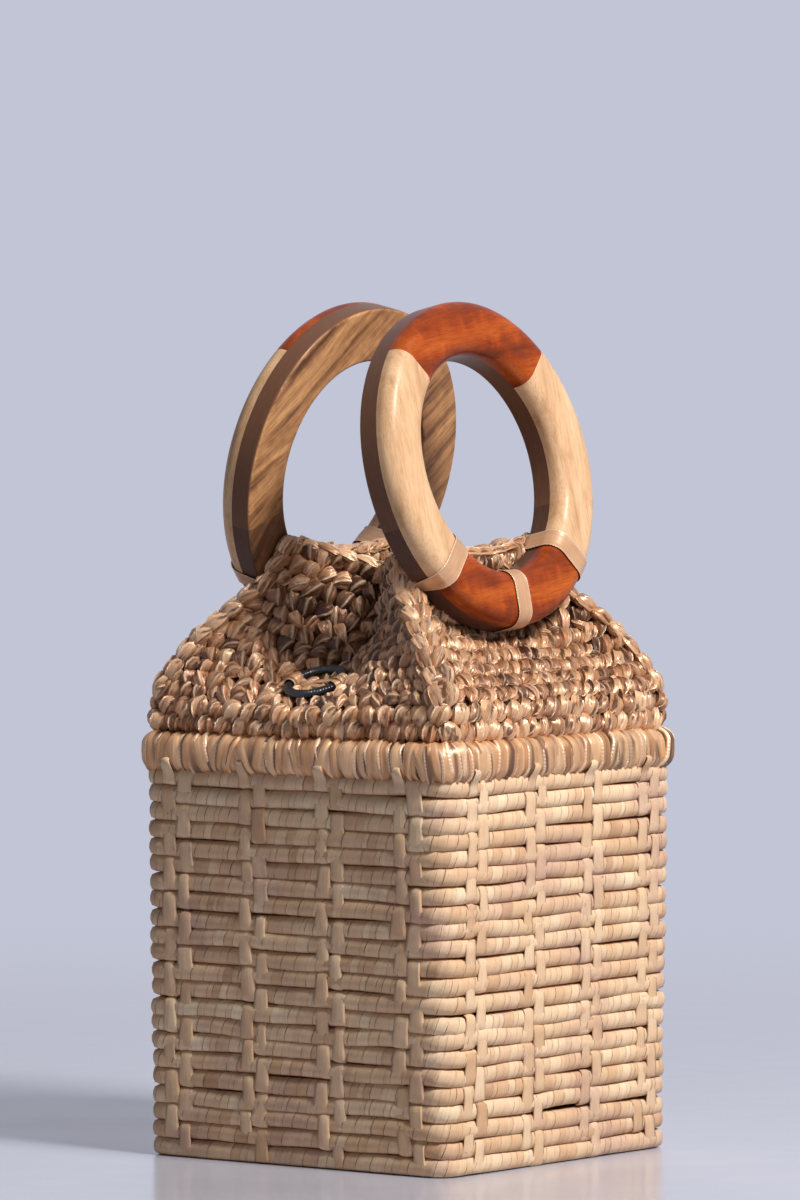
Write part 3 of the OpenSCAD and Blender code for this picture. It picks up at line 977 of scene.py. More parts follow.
    def build_stitches(self, tree: LaidTree, straw: bpy.types.Material) -> bpy.types.Object:
        """Lays the straw stitches, each over two coils, and the tips that end on the rim."""
        over = np.array([
            (2.2, -7.9, 1.1), (3.9, -7.2, 1.1), (4.55, -6.2, 1.08), (4.75, -4.0, 1.06), (4.85, -2.0, 1.02),
            (4.8, 0.0, 0.98), (4.95, 2.0, 0.96), (5.0, 4.0, 0.96), (4.75, 6.4, 0.94), (3.9, 7.5, 0.9),
            (2.2, 8.1, 0.84)])
        tip = np.array([
            (2.4, -4.1, 1.0), (4.3, -3.2, 1.02), (4.8, -1.6, 1.0), (5.0, 0.6, 0.96), (5.6, 2.4, 0.9),
            (6.9, 4.0, 0.86), (7.9, 5.8, 0.8), (8.3, 7.6, 0.7), (7.2, 8.8, 0.5)])
        shapes = [
            self.strip(over, 1, (1.0, 0.96), 0.6), self.strip(over, 2, (0.86, 1.04), -1.3),
            self.strip(over, 3, (1.04, 0.82), 1.2), self.strip(over, 4, (0.96, 0.9), -0.5),
            self.strip(tip, 5, (1.0, 0.9), 0.8), self.strip(tip, 6, (0.9, 0.7), -1.2)]
        draw = np.random.default_rng(61)
        laying = Laying()
        for side in range(4):
            for pair in range(self.pairs):
                end = self.path.corner_at - self.pair_inset
                middle = end * (2 * pair / (self.pairs - 1) - 1)
                for column, first in ((-0.5, 1), (0.5, 0)):
                    along = middle + column * self.column_pitch
                    for row in range(first, self.coils - 1, 2):
                        self.lay(laying, draw, side, along, row, 1, int(draw.integers(4)))
                    if first == 1:
                        self.lay(laying, draw, side, along, self.coils - 1, 0, 4 + int(draw.integers(2)))
        return self.on_floor(laying.grow(
            tree, "basket_stitches", shapes, straw, 7, turn=2.4, size=0.05, ruffle=0.5, ruffle_scale=260))

    def lay(self, laying: Laying, draw: np.random.Generator, side: int, along: float, row: int,
            span: int, kind: int) -> None:
        """Adds one straw stitch on a side of the basket.

        Args:
            laying: Where it goes.
            draw: Random numbers.
            side: The side, from 0 at +X.
            along: Distance along that side from its middle.
            row: The lower coil that it covers.
            span: Coils from there to the upper one.
            kind: Which shape it is.
        """
        along = along + draw.normal(0, 0.5)
        share = (side + (along + self.path.corner_at) / (self.path.length(self.out(row)) / 4)) / 4
        drifts = np.array([self.drift(r, np.array([share])) for r in (row, row + span)])[:, :, 0]
        up, away = drifts.mean(0)
        spot = Vector((self.path.corner_at + self.out(row + span / 2) + away, along,
                       self.rise(row + span / 2) + up))
        turn = Matrix.Rotation(side * TURN / 4, 3, "Z")
        size = (1.0, float(draw.uniform(0.84, 1.1)), 1.0)
        laying.add(turn @ spot, turn, size, kind, some_tone(draw, 0.58, 0.1))


@dataclass
class BoundRim:
    """The rim roll, bound with close turns of gathered satin ribbon."""

    path: BoxPath = field(default_factory=BoxPath)
    out: float = RIM_OUT
    middle: float = 183.5
    half_depth: float = 6.3
    half_rise: float = 2.2
    turn_pitch: float = 7.0
    turn_width: float = 10.4
    steps: int = 26
    core_rings: int = 144
    core_in: float = 1.2
    kinds: int = 6

    def loop(self, grow: float) -> tuple[Array, Array]:
        """Points and outward directions round the section, from its inner side, grown by a distance."""
        angle = (np.arange(self.steps) / self.steps + 0.5) * TURN
        face = np.stack([np.cos(angle), np.sin(angle)], -1)
        spot = face * (self.half_depth + grow)
        spot[:, 1] += np.sign(np.round(face[:, 1], 6)) * self.half_rise
        return spot, face

    def turn(self, seed: int) -> Shape:
        """One turn of ribbon, gathered into a few folds, with X outwards and Y along the rim."""
        draw = np.random.default_rng(seed)
        across = np.array([-0.5, -0.44, -0.3, -0.05, 0.16, 0.42, 0.5, 0.2, -0.2])
        lift = np.array([-1.3, 0.75, 0.5, 1.1, -0.1, 0.65, -1.4, -1.5, -1.5])
        lift[1:6] += draw.normal(0, 0.3, 5)
        spot, face = self.loop(0.0)
        share = np.arange(self.steps) / self.steps
        waver = np.stack([Wander(seed * 20 + k, 0.16, 4).at(share) for k in range(len(across))], -1)
        waver[:, 7:] = 0
        gather = 1 + Wander(seed * 20 + 15, 0.1, 3).at(share)
        sideways = (self.turn_width * gather)[:, None] * across + draw.normal(0, 0.07) * spot[:, 1:]
        edge = np.array([0.6, 1.0, 0, 0, 0, 1.0 if seed % 2 else 0.0, 0.6, 0, 0])
        return skin(lifted(spot, face, lift + waver, sideways), edge, closed=True)

    def build_core(self, satin: bpy.types.Material) -> bpy.types.Object:
        """Sweeps the roll under the turns, at the ribbon's deepest tone: painted shade in the gaps between
        the turns.
        """
        share = np.linspace(0, 1, self.core_rings, endpoint=False)
        spot, face = self.path.at(share, np.full(len(share), self.out), self.half_depth)
        section, _ = self.loop(-self.core_in)
        rings = np.empty((len(share), self.steps, 3))
        rings[:, :, :2] = spot[:, None, :] + section[None, :, :1] * face[:, None, :]
        rings[:, :, 2] = self.middle + section[None, :, 1]
        # Painted shade: tone 0 is the deepest colour, shown in the gaps between the turns.
        return skin(rings, np.zeros(self.steps), closed=True).dressed("rim_roll", 0.0, satin)

    def build_turns(self, tree: LaidTree, satin: bpy.types.Material) -> bpy.types.Object:
        """Lays the turns of ribbon round the rim."""
        draw = np.random.default_rng(17)
        reach = self.out + self.half_depth
        count = round(self.path.length(reach) / self.turn_pitch)
        share = (np.arange(count) + draw.uniform(-0.22, 0.22, count)) / count
        spot, face = self.path.at(share, np.full(count, self.out), self.half_depth)
        laying = Laying()
        for (x, y), (nx, ny) in zip(spot, face):
            axes = about(axes_of((nx, ny, 0), (-ny, nx, 0)), draw.normal(3, 8), "X")
            size = (draw.uniform(0.97, 1.05), draw.uniform(0.75, 1.2), draw.uniform(0.985, 1.02))
            laying.add((x, y, self.middle + draw.normal(0, 0.15)), axes, size,
                       int(draw.integers(self.kinds)), some_tone(draw, 0.6, 0.12))
        shapes = [self.turn(40 + k) for k in range(self.kinds)]
        return laying.grow(tree, "rim_turns", shapes, satin, 3, ruffle=0.5, ruffle_scale=240)


@dataclass(frozen=True)
class SatinLoop:
    """Ribbon gathered into one soft loop of a stitch, with X across, Y along it and Z outwards."""

    length: float
    width: float
    depth: float
    head: float
    folds: int
    crease: float
    twist: float
    arch: float
    seed: int
    blunt: float = 2.4
    runs: int = 7

    def shape(self) -> Shape:
        """Builds the loop."""
        draw = np.random.default_rng(self.seed)
        sides = 2 * self.folds
        t = np.linspace(0.015, 0.985, self.runs)[:, None]
        spread = (np.arange(sides) + draw.uniform(-0.25, 0.25, sides)) / sides * TURN
        angle = spread + self.twist * (t - 0.5)
        swell = (1 - np.abs(2 * t ** self.head - 1) ** self.blunt) ** 0.6
        girth = swell * (1 - self.crease * (np.arange(sides) % 2) * draw.uniform(0.5, 1.3, sides))
        rings = np.empty((self.runs, sides, 3))
        rings[:, :, 0] = self.width / 2 * girth * np.cos(angle) + draw.normal(0, 0.06) * self.length * swell
        rings[:, :, 1] = (t - 0.5) * self.length
        rise = np.sin(angle)
        rings[:, :, 2] = self.depth / 2 * girth * np.where(rise < 0, 0.7 * rise, rise) + self.arch * (
            np.sin(math.pi * t) - 0.6)
        edge = np.zeros(sides)
        edge[2 * int(draw.integers(1, max(2, self.folds // 2)))] = 1.0
        return skin(rings, edge)


@dataclass
class HoodForm:
    """The hood's surface: a collar, two flaps behind the rings, and two gussets folded inwards."""

    corner_at: float = CORNER_AT
    rim_out: float = RIM_OUT
    thick: float = 6.5
    foot: float = 192.8
    collar_h: float = 17.0
    ring_r: float = RING_R
    hole_r: float = HOLE_R
    lean: float = RING_LEAN
    depth: float = 11.4
    flap_w: float = 92.0
    flap_rise: float = 44.5
    flap_sag: float = 6.5
    fold_gap: float = 38.0
    fold_drop: float = 14.0
    fold_dip: float = 5.0
    shelf_gap: float = 50.0
    shelf_slope: float = 24.0
    crease_angle: float = 48.0
    crease_bulge: float = 6.0
    room: float = 3.0
    swell: float = 1.2
    puff: float = 2.0
    strap_up: float = 20.0
    sink: float = 0.26
    strap_r: float = 15.0
    strap_half: float = 2.25
    ribbon_gap: float = 1.4
    line_steps: int = 240
    probe_along: float = 0.012
    probe_up: float = 0.03

    def __post_init__(self) -> None:
        """Finds the hood's corner points, in the quarter with X and -Y positive."""
        lean = math.radians(self.lean)
        self.ring_mid = np.array(RING_MIDDLE)
        self.ring_face = np.array([0.0, -math.cos(lean), math.sin(lean)])
        self.ring_up = np.array([0.0, math.sin(lean), math.cos(lean)])
        self.collar_z = self.foot + self.collar_h
        half = self.corner_at + self.rim_out + self.thick / 4
        corner = self.corner_at + self.rim_out * math.sqrt(0.5) + self.thick / 4
        self.flap_foot = np.array([0.0, -half, self.collar_z])
        self.knee = self.on_flap(-self.ring_r - 0.3)
        self.flap_top = self.on_flap(self.flap_rise - self.flap_sag - self.ring_r)
        angle = math.radians(self.crease_angle)
        reach = self.ring_r + self.room
        self.crease_foot = np.array([corner, -corner, self.collar_z])
        self.crease_bend = self.on_flap(-reach * math.cos(angle)) + [reach * math.sin(angle), 0, 0]
        self.crease_top = self.on_flap(self.flap_rise - self.ring_r) + [self.flap_w / 2, 0, 0]
        self.fold_foot = np.array([half, 0.0, self.collar_z - self.fold_dip])
        self.fold_top = np.array([self.fold_gap / 2, 0.0, self.crease_top[2] - self.fold_drop])
        slope = math.radians(self.shelf_slope)
        shelf = half - self.shelf_gap / 2
        self.fold_bend = self.fold_foot + shelf * np.array([-1.0, 0.0, math.tan(slope)])
        self.shelf_dir = np.array([-math.cos(slope), 0.0, math.sin(slope)])
        self.shelf_normal = np.array([math.sin(slope), 0.0, math.cos(slope)])
        self.strap_mid = (self.fold_foot + self.strap_up * self.shelf_dir
                          + (self.strap_half + self.ribbon_gap) * self.shelf_normal)

    def on_flap(self, up: float) -> Array:
        """A point in the middle of the flap, at a distance up the ring's plane from its centre."""
        return self.ring_mid + up * self.ring_up - self.depth * self.ring_face

    def bent(self, t: Array, a: Array, b: Array, c: Array, bulge: float = 0.0) -> Array:
        """Points at shares of the way from a over b to c, bulging outwards before b."""
        first, second = np.linalg.norm(b - a), np.linalg.norm(c - b)
        knee = first / (first + second)
        t = np.asarray(t, float)[..., None]
        diagonal = np.array([math.sqrt(0.5), -math.sqrt(0.5), 0])
        out = bulge * np.sin(math.pi * np.minimum(1, t / knee)) * diagonal
        return np.where(t < knee, mix(a, b, t / knee), mix(b, c, (t - knee) / (1 - knee))) + out

    def flap_line(self, t: Array) -> Array:
        """The middle of the flap."""
        return self.bent(t, self.flap_foot, self.knee, self.flap_top)

    def crease_line(self, t: Array) -> Array:
        """The crease between flap and gusset."""
        return self.bent(t, self.crease_foot, self.crease_bend, self.crease_top, self.crease_bulge)

    def fold_line(self, t: Array) -> Array:
        """The fold in the middle of the gusset, along its shelf and then up."""
        return self.bent(t, self.fold_foot, self.fold_bend, self.fold_top)

    def quarter(self, f: Array, t: Array, k: float) -> Array:
        """Points from the middle of the flap (f = 0) past its crease to the gusset fold (f = 1).

        Args:
            f: Shares of the way round the quarter.
            t: Shares of the way up.
            k: 0 for the outside of the crochet, 1 for the inside.

        Returns:
            The points.
        """
        away = self.fold_line(t) - self.crease_line(t)
        away[..., 2] = 0
        away = unit(away)
        inset, drop = 0.8 * self.thick, 0.5 * self.thick
        down = np.array([0, 0, drop])
        slope = away[..., 1:2]
        flap = self.flap_line(t) + k * np.array([0, inset, -drop])
        crease = self.crease_line(t) + k * ((away - [1, 0, 0]) * inset / slope - down)
        fold = self.fold_line(t) - k * (np.array([1, 0, 0]) * inset / slope + down)
        u = np.clip(2 * f, 0, 1)[..., None]
        sharp = mix(8.0, 2.5, np.minimum(1, 2 * np.asarray(t, float)))[..., None]
        w = u ** sharp
        on_flap = mix(flap, crease, w)
        on_flap[..., 0] = u[..., 0] * crease[..., 0]
        v = np.clip(2 * f - 1, 0, 1)[..., None]
        return np.where((f < 0.5)[..., None], on_flap, mix(crease, fold, v))

    def at(self, g: Array, s: Array, k: float = 0.0) -> Array:
        """Points on the hood.

        Args:
            g: Quarters round, from the middle of the front flap.
            s: Height: -1 to 0 up the collar, 0 to 1 up the flaps and gussets.
            k: 0 for the outside of the crochet, 1 for the inside.

        Returns:
            The points.
        """
        g, s = np.broadcast_arrays(np.asarray(g, float), np.asarray(s, float))
        q = np.floor(g) % 4
        f = np.where(q % 2 == 0, g - np.floor(g), 1 - g + np.floor(g))
        p = self.quarter(f, np.clip(s, 0, 1), k)
        p[..., 0] *= np.where(q < 2, 1, -1)
        p[..., 1] *= np.where((q == 0) | (q == 3), 1, -1)
        p[..., 2] = mix(self.foot, p[..., 2], np.clip(s + 1, 0, 1))
        return p

    def settle(self, p: Array, lift: float) -> Array:
        """Presses points behind the rings and under the strap rings.

        Args:
            p: The points.
            lift: How far the stitches stand out of them.

        Returns:
            The pressed points.
        """
        side = np.where(p[..., 1:2] < 0, [1, 1, 1], [1, -1, 1])
        q = p * side
        d = q - self.ring_mid
        away = np.hypot(d[..., 0], d @ self.ring_up)
        outer = self.swell * np.maximum(0, away - self.ring_r - self.room)
        inner = np.minimum(self.puff, self.swell * np.maximum(0, self.hole_r - self.room - away))
        limit = np.maximum(outer, inner) - self.depth - lift
        q = q - self.ring_face * np.maximum(0, d @ self.ring_face - limit)[..., None]
        q = q * side
        side = np.where(q[..., :1] < 0, [-1, 1, 1], [1, 1, 1])
        q = q * side
        d = q - self.strap_mid
        away = np.hypot(d[..., 1], d @ self.shelf_dir)
        limit = self.swell * np.maximum(0, away - self.strap_r - self.room)
        limit = limit - self.strap_half - self.ribbon_gap - lift
        return (q - self.shelf_normal * np.maximum(0, d @ self.shelf_normal - limit)[..., None]) * side

    def row(self, start: float, end: float, s: float, pitch: float, shift: float,
            lift: float, inside: bool = False) -> list[Place]:
        """Evenly spaced places along one row.

        Args:
            start: Where the row starts, in quarters round.
            end: Where it ends.
            s: Its height.
            pitch: About how far apart the places are.
            shift: Shift along the row, in pitches.
            lift: How far the stitches stand out.
            inside: Whether the row lies on the inside.

        Returns:
            The spot, the way along, the way up and the true pitch of each place.
        """
        def on(g: Array, s: float) -> Array:
            """Points on the side of the crochet that the row lies on."""
            return self.at(g, s, 1.0) if inside else self.settle(self.at(g, s, self.sink), lift)

        g = np.linspace(start, end, self.line_steps)
        run = run_along(on(g, s))
        count = max(2, round(run[-1] / pitch))
        step = run[-1] / count
        wanted = (np.arange(count) + 0.5 + shift) * step
        wanted = wanted[wanted < run[-1]]
        places = np.interp(wanted, run, g)
        span = (end - start) * self.probe_along
        along = on(places + span, s) - on(places - span, s)
        up = on(places, min(1.0, s + self.probe_up)) - on(places, max(-1.0, s - self.probe_up))
        return [(a, -b if inside else b, c, step) for a, b, c in zip(on(places, s), along, up)]


def stagger(row: int) -> float:
    """Shift of a row of stitches, a quarter of a pitch back and forth by turns."""
    return 0.5 * (row % 2) - 0.25


@dataclass
class CrochetHood:
    """The hood, crocheted in satin ribbon: shell, collar beads, flap and gusset stitches, braids."""

    form: HoodForm = field(default_factory=HoodForm)
    rows: int = 10
    gusset_rows: int = 12
    flap_pitch: float = 7.6
    gusset_pitch: float = 7.2
    bead_pitch: float = 9.4
    braid_pitch: float = 9.0
    crisp: float = 46.0
    gusset_crisp: float = 34.0
    # Painted shade: depth into a gusset's fold over which a leg's tone falls by one.
    dark_depth: float = 95.0
    kinds: int = 6
    braid_kinds: int = 4
    lean: float = -38.0
    flap_lift: float = 1.2
    gusset_lift: float = 0.4
    bar_share: float = 0.4
    crease_plump: float = 1.3
    edge_plump: float = 1.0
    middle: tuple[float, float, float] = (0.0, 0.0, 215.0)
    shell_places: int = 192
    shell_heights: int = 28
    panels: tuple[tuple[float, float, bool], ...] = (
        (-0.5, 0.5, True), (0.5, 1.0, False), (1.0, 1.5, False),
        (1.5, 2.5, True), (2.5, 3.0, False), (3.0, 3.5, False))

    def build_shell(self, satin: bpy.types.Material) -> bpy.types.Object:
        """Lofts the closed shell that the stitches sit in; its dark finish is painted shade in the gaps
        between them.
        """
        g = np.arange(self.shell_places) / self.shell_places * 4
        heights = np.concatenate([[-1, -0.5], np.linspace(0, 1, self.shell_heights)])
        outside = [self.form.settle(self.form.at(g, s, 0.3), 1.0) for s in heights]
        inside = [self.form.at(g, s, 1.0) for s in heights[::-1]]
        shell = skin(np.array(outside + inside), np.zeros(len(g)), closed=True)
        return shell.dressed("hood_shell", 0.1, satin)

    def build_collar(self, tree: LaidTree, satin: bpy.types.Material) -> bpy.types.Object:
        """Lays the two rounds of gathered puffs in the collar."""
        shapes = [SatinLoop(
            length=12.2, width=11.8, depth=10.6, head=1.0, folds=7, crease=0.32, twist=0.9, arch=0.4,
            seed=70 + k).shape() for k in range(self.kinds)]
        draw = np.random.default_rng(23)
        laying = Laying()
        for turn, s in enumerate((-0.77, -0.27)):
            for start in range(4):
                for spot, along, up, _ in self.form.row(
                        start - 0.5, start + 0.5, s, self.bead_pitch, stagger(turn), 0.0):
                    axes = about(axes_of(along, up), draw.normal(self.lean, 9))
                    size = (draw.uniform(0.8, 1.12), draw.uniform(0.86, 1.02), draw.uniform(0.8, 1.05))
                    laying.add(spot + unit(along) * draw.normal(0, 0.5), axes, size,
                               int(draw.integers(self.kinds)), min(1.0, self.tone(draw) + 0.2))
        return laying.grow(tree, "hood_collar", shapes, satin, 11, turn=6, size=0.07, ruffle=1.1,
                           crisp=self.crisp)

    def tone(self, draw: np.random.Generator) -> float:
        """A random place on the ribbon's colour ramp."""
        return some_tone(draw, 0.5, 0.22)

    def stitch(self, laying: Laying, draw: np.random.Generator, place: Place, pitch: float,
               lean: float, bar: bool = False, fold_shade: float = 0.0) -> None:
        """Adds one crochet stitch: its leg, and a loop across its top.

        Args:
            laying: Where it goes.
            draw: Random numbers.
            place: Its spot, the way along, the way up and the step of its row.
            pitch: The step at which the shapes have their own width.
            lean: Turn of the leg in degrees.
            bar: Whether it has the loop across.
            fold_shade: Painted shade: how much darker the leg is, on the ribbon's colour ramp.
        """
        spot, along, up, step = place
        axes = axes_of(along, up)
        out = np.array(axes.col[2])
        size = (step / pitch * draw.uniform(0.88, 1.14), draw.uniform(0.86, 1.1), draw.uniform(0.75, 1.15))
        laying.add(spot + out * draw.normal(0, 0.35), about(axes, draw.normal(lean, 12)), size,
                   int(draw.integers(self.kinds)), max(0.0, self.tone(draw) - fold_shade))
        if bar:
            laying.add(spot + unit(up) * 4.0 + out * 0.8, about(axes, draw.normal(70, 20)),
                       (0.5, 0.8, 0.6), int(draw.integers(self.kinds)), self.tone(draw))

    def build_flaps(self, tree: LaidTree, satin: bpy.types.Material) -> bpy.types.Object:
        """Lays the twisted stitches of the two flaps."""
        shapes = [SatinLoop(
            length=11.8, width=8.6, depth=9.0, head=0.9 + 0.1 * k, folds=6, crease=0.36, twist=1.2,
            arch=0.8, seed=90 + k).shape() for k in range(self.kinds)]
        draw = np.random.default_rng(29)
        laying = Laying()
        for start, end, flap in self.panels:
            if not flap:
                continue
            for r in range(self.rows):
                s = (r + 0.5) / self.rows
                for place in self.form.row(start, end, s, self.flap_pitch, stagger(r), self.flap_lift):
                    bar = draw.uniform() < self.bar_share
                    self.stitch(laying, draw, place, self.flap_pitch, self.lean, bar)
        return laying.grow(tree, "hood_flaps", shapes, satin, 13, turn=13, size=0.13, ruffle=1.0,
                           crisp=self.crisp)

    def build_gussets(self, tree: LaidTree, satin: bpy.types.Material) -> bpy.types.Object:
        """Lays the larger folded wedges of the two gussets, with painted shade: legs deeper in the fold are
        darker.
        """
        shapes = [SatinLoop(
            length=12.0, width=8.7, depth=9.4, head=1.2 + 0.14 * k, folds=4 + k % 2, crease=0.2,
            twist=0.8 - 0.4 * k, arch=0.8, seed=110 + k, runs=6).shape() for k in range(self.kinds)]
        draw = np.random.default_rng(31)
        laying = Laying()
        for start, end, flap in self.panels:
            if flap:
                continue
            for r in range(self.gusset_rows):
                s = (r + 0.5) / self.gusset_rows
                crease = abs(self.form.at(np.array([0.5]), s)[0, 0])
                for place in self.form.row(start, end, s, self.gusset_pitch, stagger(r), self.gusset_lift):
                    # Painted shade: the further in from the crease a leg lies, the darker its tone.
                    fold_shade = max(0.0, crease - abs(place[0][0])) / self.dark_depth
                    lean = draw.choice((-26, 24))
                    self.stitch(laying, draw, place, self.gusset_pitch, lean, fold_shade=fold_shade)
        return laying.grow(tree, "hood_gussets", shapes, satin, 19, turn=12, size=0.12, ruffle=0.8,
                           crisp=self.gusset_crisp)

    def build_inside(self, tree: LaidTree, satin: bpy.types.Material) -> bpy.types.Object:
        """Lays the stitches that show inside the mouth."""
        shapes = [SatinLoop(
            length=12.0, width=8.4, depth=5.0, head=1.2 + 0.1 * k, folds=5, crease=0.26,
            twist=0.8 - 0.4 * k, arch=0.5, seed=150 + k, runs=6).shape() for k in range(self.kinds)]
        draw = np.random.default_rng(41)
        laying = Laying()
        for start, end, flap in self.panels:
            for r in range(self.rows // 2, self.rows):
                s = (r + 0.5) / self.rows
                pitch = self.flap_pitch if flap else self.gusset_pitch
                for place in self.form.row(start, end, s, pitch, stagger(r), 0.0, inside=True):
                    self.stitch(laying, draw, place, pitch, draw.choice((-24, 24)))
        return laying.grow(tree, "hood_inside", shapes, satin, 25, turn=6, size=0.08, ruffle=0.7,
                           crisp=self.crisp)

    def braid(self, laying: Laying, draw: np.random.Generator, line: Array, out: Array,
              plump: float) -> None:
        """Adds a chain of paired leaves along a line.

        Args:
            laying: Where the leaves go.
            draw: Random numbers.
            line: Points along the line.
            out: The way out of the crochet at each point.
            plump: Thickness of the leaves, as a share of the shapes' own.
        """
        run = run_along(line)
        count = max(2, round(run[-1] / self.braid_pitch))
        wanted = (np.arange(count) + 0.5) * run[-1] / count
        spot = points_at(wanted, run, line)
        face = unit(points_at(wanted, run, out))
        ahead = points_at(wanted + 1, run, line) - points_at(wanted - 1, run, line)
        for p, n, d in zip(spot, face, ahead):
            across = np.cross(d, n)
            axes = axes_of(across, d)
            for side in (-1, 1):
                size = (plump, draw.uniform(0.92, 1.1), plump * draw.uniform(0.9, 1.05))
                laying.add(p + unit(across) * side * 1.9 * plump,
                           about(axes, side * -13 + draw.normal(0, 5)), size,
                           int(draw.integers(self.braid_kinds)), min(1.0, self.tone(draw) + 0.35))

    def build_braids(self, tree: LaidTree, satin: bpy.types.Material) -> bpy.types.Object:
        """Lays the chains along the four creases and round the top edge."""
        shapes = [SatinLoop(
            length=14.0, width=6.8, depth=6.4, head=1.2, folds=5, crease=0.24, twist=0.6 - 0.4 * k,
            arch=0.6, seed=130 + k, blunt=3.0).shape() for k in range(self.braid_kinds)]
        draw = np.random.default_rng(37)
        laying = Laying()
        form = self.form
        t = np.linspace(0.0, 1.0, 80)
        for corner in (0.5, 1.5, 2.5, 3.5):
            line = form.settle(form.at(np.full_like(t, corner), t, form.sink), self.flap_lift)
            self.braid(laying, draw, line, unit(line - np.array(self.middle)), self.crease_plump)
        g = np.linspace(0, 4, 600)
        top = form.settle(form.at(g, np.ones_like(g)), self.flap_lift)
        inner = form.at(g, np.ones_like(g), 1.0)
        upwards = np.tile([0.0, 0.0, 1.0], (len(g), 1))
        self.braid(laying, draw, 0.5 * (top + inner), upwards, self.edge_plump)
        return laying.grow(tree, "hood_braids", shapes, satin, 21, turn=4, size=0.06, ruffle=0.6,
                           crisp=self.crisp)


@dataclass(frozen=True)
class Lamp:
    """A round lamp that points at the middle of the bag."""

    name: str
    spot: tuple[float, float, float]
    size: float
    power: float
    mirrored: bool = True
    aim: tuple[float, float, float] = (0.0, 0.0, 180.0)

    def hang(self) -> None:
        """Puts the lamp in the scene."""
        data = bpy.data.lights.new(self.name, "AREA")
        data.shape, data.size, data.energy = "DISK", self.size, self.power
        lamp = placed(self.name, data)
        lamp.location = Vector(self.spot) * MM
        lamp.visible_glossy = self.mirrored
        lamp.rotation_euler = (Vector(self.aim) - Vector(self.spot)).to_track_quat("-Z", "Y").to_euler()


@dataclass
class Studio:
    """The pale floor, the soft lamps, the plain background and the camera."""

    azimuth: float = -52.8
    away: float = 3410.0
    rise: float = 372.0
    yaw: float = 0.07
    pitch: float = 2.03
    lens: float = 225.0
    floor_reach: float = 14000.0
    floor_sides: int = 96
    floor_colour: Colour = screen(190, 191, 203)
    backdrop: Colour = screen(194, 197, 213)
    sky: Colour = screen(244, 244, 250)
    sky_power: float = 0.05
    lamps: tuple[Lamp, ...] = (
        Lamp("key_lamp", (-200, -1625, 1905), 0.6, 77.0),
        Lamp("fill_lamp", (-1900, -1100, 1020), 0.45, 1.5),
        Lamp("back_lamp", (1900, 1500, 700), 1.2, 22.0, mirrored=False),
    )

    def build(self) -> None:
        """Makes everything round the bag."""
        self.place_camera()
        self.lay_floor()
        self.light()

    def place_camera(self) -> None:
        """Puts the camera at the photograph's viewpoint."""
        data = bpy.data.cameras.new("camera")
        data.sensor_fit = "VERTICAL"
        data.sensor_height = 36.0
        data.sensor_width = 24.0
        data.lens = self.lens
        data.clip_start, data.clip_end = 0.05, 60.0
        camera = placed("camera", data)
        a = math.radians(self.azimuth)
        camera.location = Vector((math.sin(a) * self.away, -math.cos(a) * self.away, self.rise)) * MM
        camera.rotation_euler = Euler((
            math.radians(90 - self.pitch), 0, math.radians(self.azimuth + self.yaw)))
        bpy.context.scene.camera = camera

    def seen(self, graph: Graph) -> Socket:
        """One for a ray that shows the background: from the camera, or off gloss or glass."""
        path = graph.node("ShaderNodeLightPath").outputs
        gloss = graph.math("MAXIMUM", path["Is Glossy Ray"], path["Is Transmission Ray"])
        return graph.math("MAXIMUM", path["Is Camera Ray"], gloss)

    def lay_floor(self) -> None:
        """Lays a floor that fades into the background away from the bag."""
        ring = np.linspace(0, TURN, self.floor_sides, endpoint=False)
        edge = self.floor_reach * np.column_stack([np.cos(ring), np.sin(ring), np.zeros(len(ring))])
        floor = mesh_object("floor", edge, [tuple(range(len(ring)))], {})
        s = Shading("studio_floor")
        place = s.place()
        far = s.node("ShaderNodeVectorMath", {0: place}, operation="LENGTH").outputs["Value"]
        rough = s.levels(s.noise(place, 9.0), 0.3, 0.7, 0.16, 0.22)
        lit = s.node("ShaderNodeBsdfPrincipled", {"Base Color": self.floor_colour, "Roughness": rough})
        glow = s.node("ShaderNodeEmission", {"Color": self.backdrop, "Strength": 1.0})
        fade = s.math("MULTIPLY", s.levels(far, 0.3, 1.5), self.seen(s))
        mixed = s.node("ShaderNodeMixShader", {0: fade, 1: lit.outputs[0], 2: glow.outputs[0]})
        s.node("ShaderNodeOutputMaterial", {"Surface": mixed.outputs[0]})
        floor.data.materials.append(s.material)

    def light(self) -> None:
        """Hangs the lamps and sets the world."""
        for lamp in self.lamps:
            lamp.hang()
        world = bpy.data.worlds.new("studio")
        world.use_nodes = True
        bpy.context.scene.world = world
        graph = Graph(world.node_tree)
        world.node_tree.nodes.clear()
        soft = graph.node("ShaderNodeBackground", {"Color": self.sky, "Strength": self.sky_power})
        shown = graph.node("ShaderNodeBackground", {"Color": self.backdrop, "Strength": 1.0})
        both = graph.node("ShaderNodeMixShader", {
            0: self.seen(graph), 1: soft.outputs[0], 2: shown.outputs[0]})
        graph.node("ShaderNodeOutputWorld", {"Surface": both.outputs[0]})
        bpy.context.scene.view_settings.view_transform = "Standard"


class RingPlace(Enum):
    """The two ring handles, each leaning in its own plane."""

    FRONT = 0
    BACK = 180

    def turned(self) -> Matrix:
        """Rotation from a ring's own frame, with its outward face up, to the bag's."""
        return Matrix.Rotation(math.radians(self.value), 3, "Z") @ Matrix.Rotation(
            math.radians(90 - RING_LEAN), 3, "X")

    def middle(self) -> Vector:
        """Middle of the ring, on its glue line."""
        return Matrix.Rotation(math.radians(self.value), 3, "Z") @ Vector(RING_MIDDLE)

    def facing(self) -> Vector:
        """Direction of the ring's outward face."""
        return self.turned() @ Vector((0.0, 0.0, 1.0))


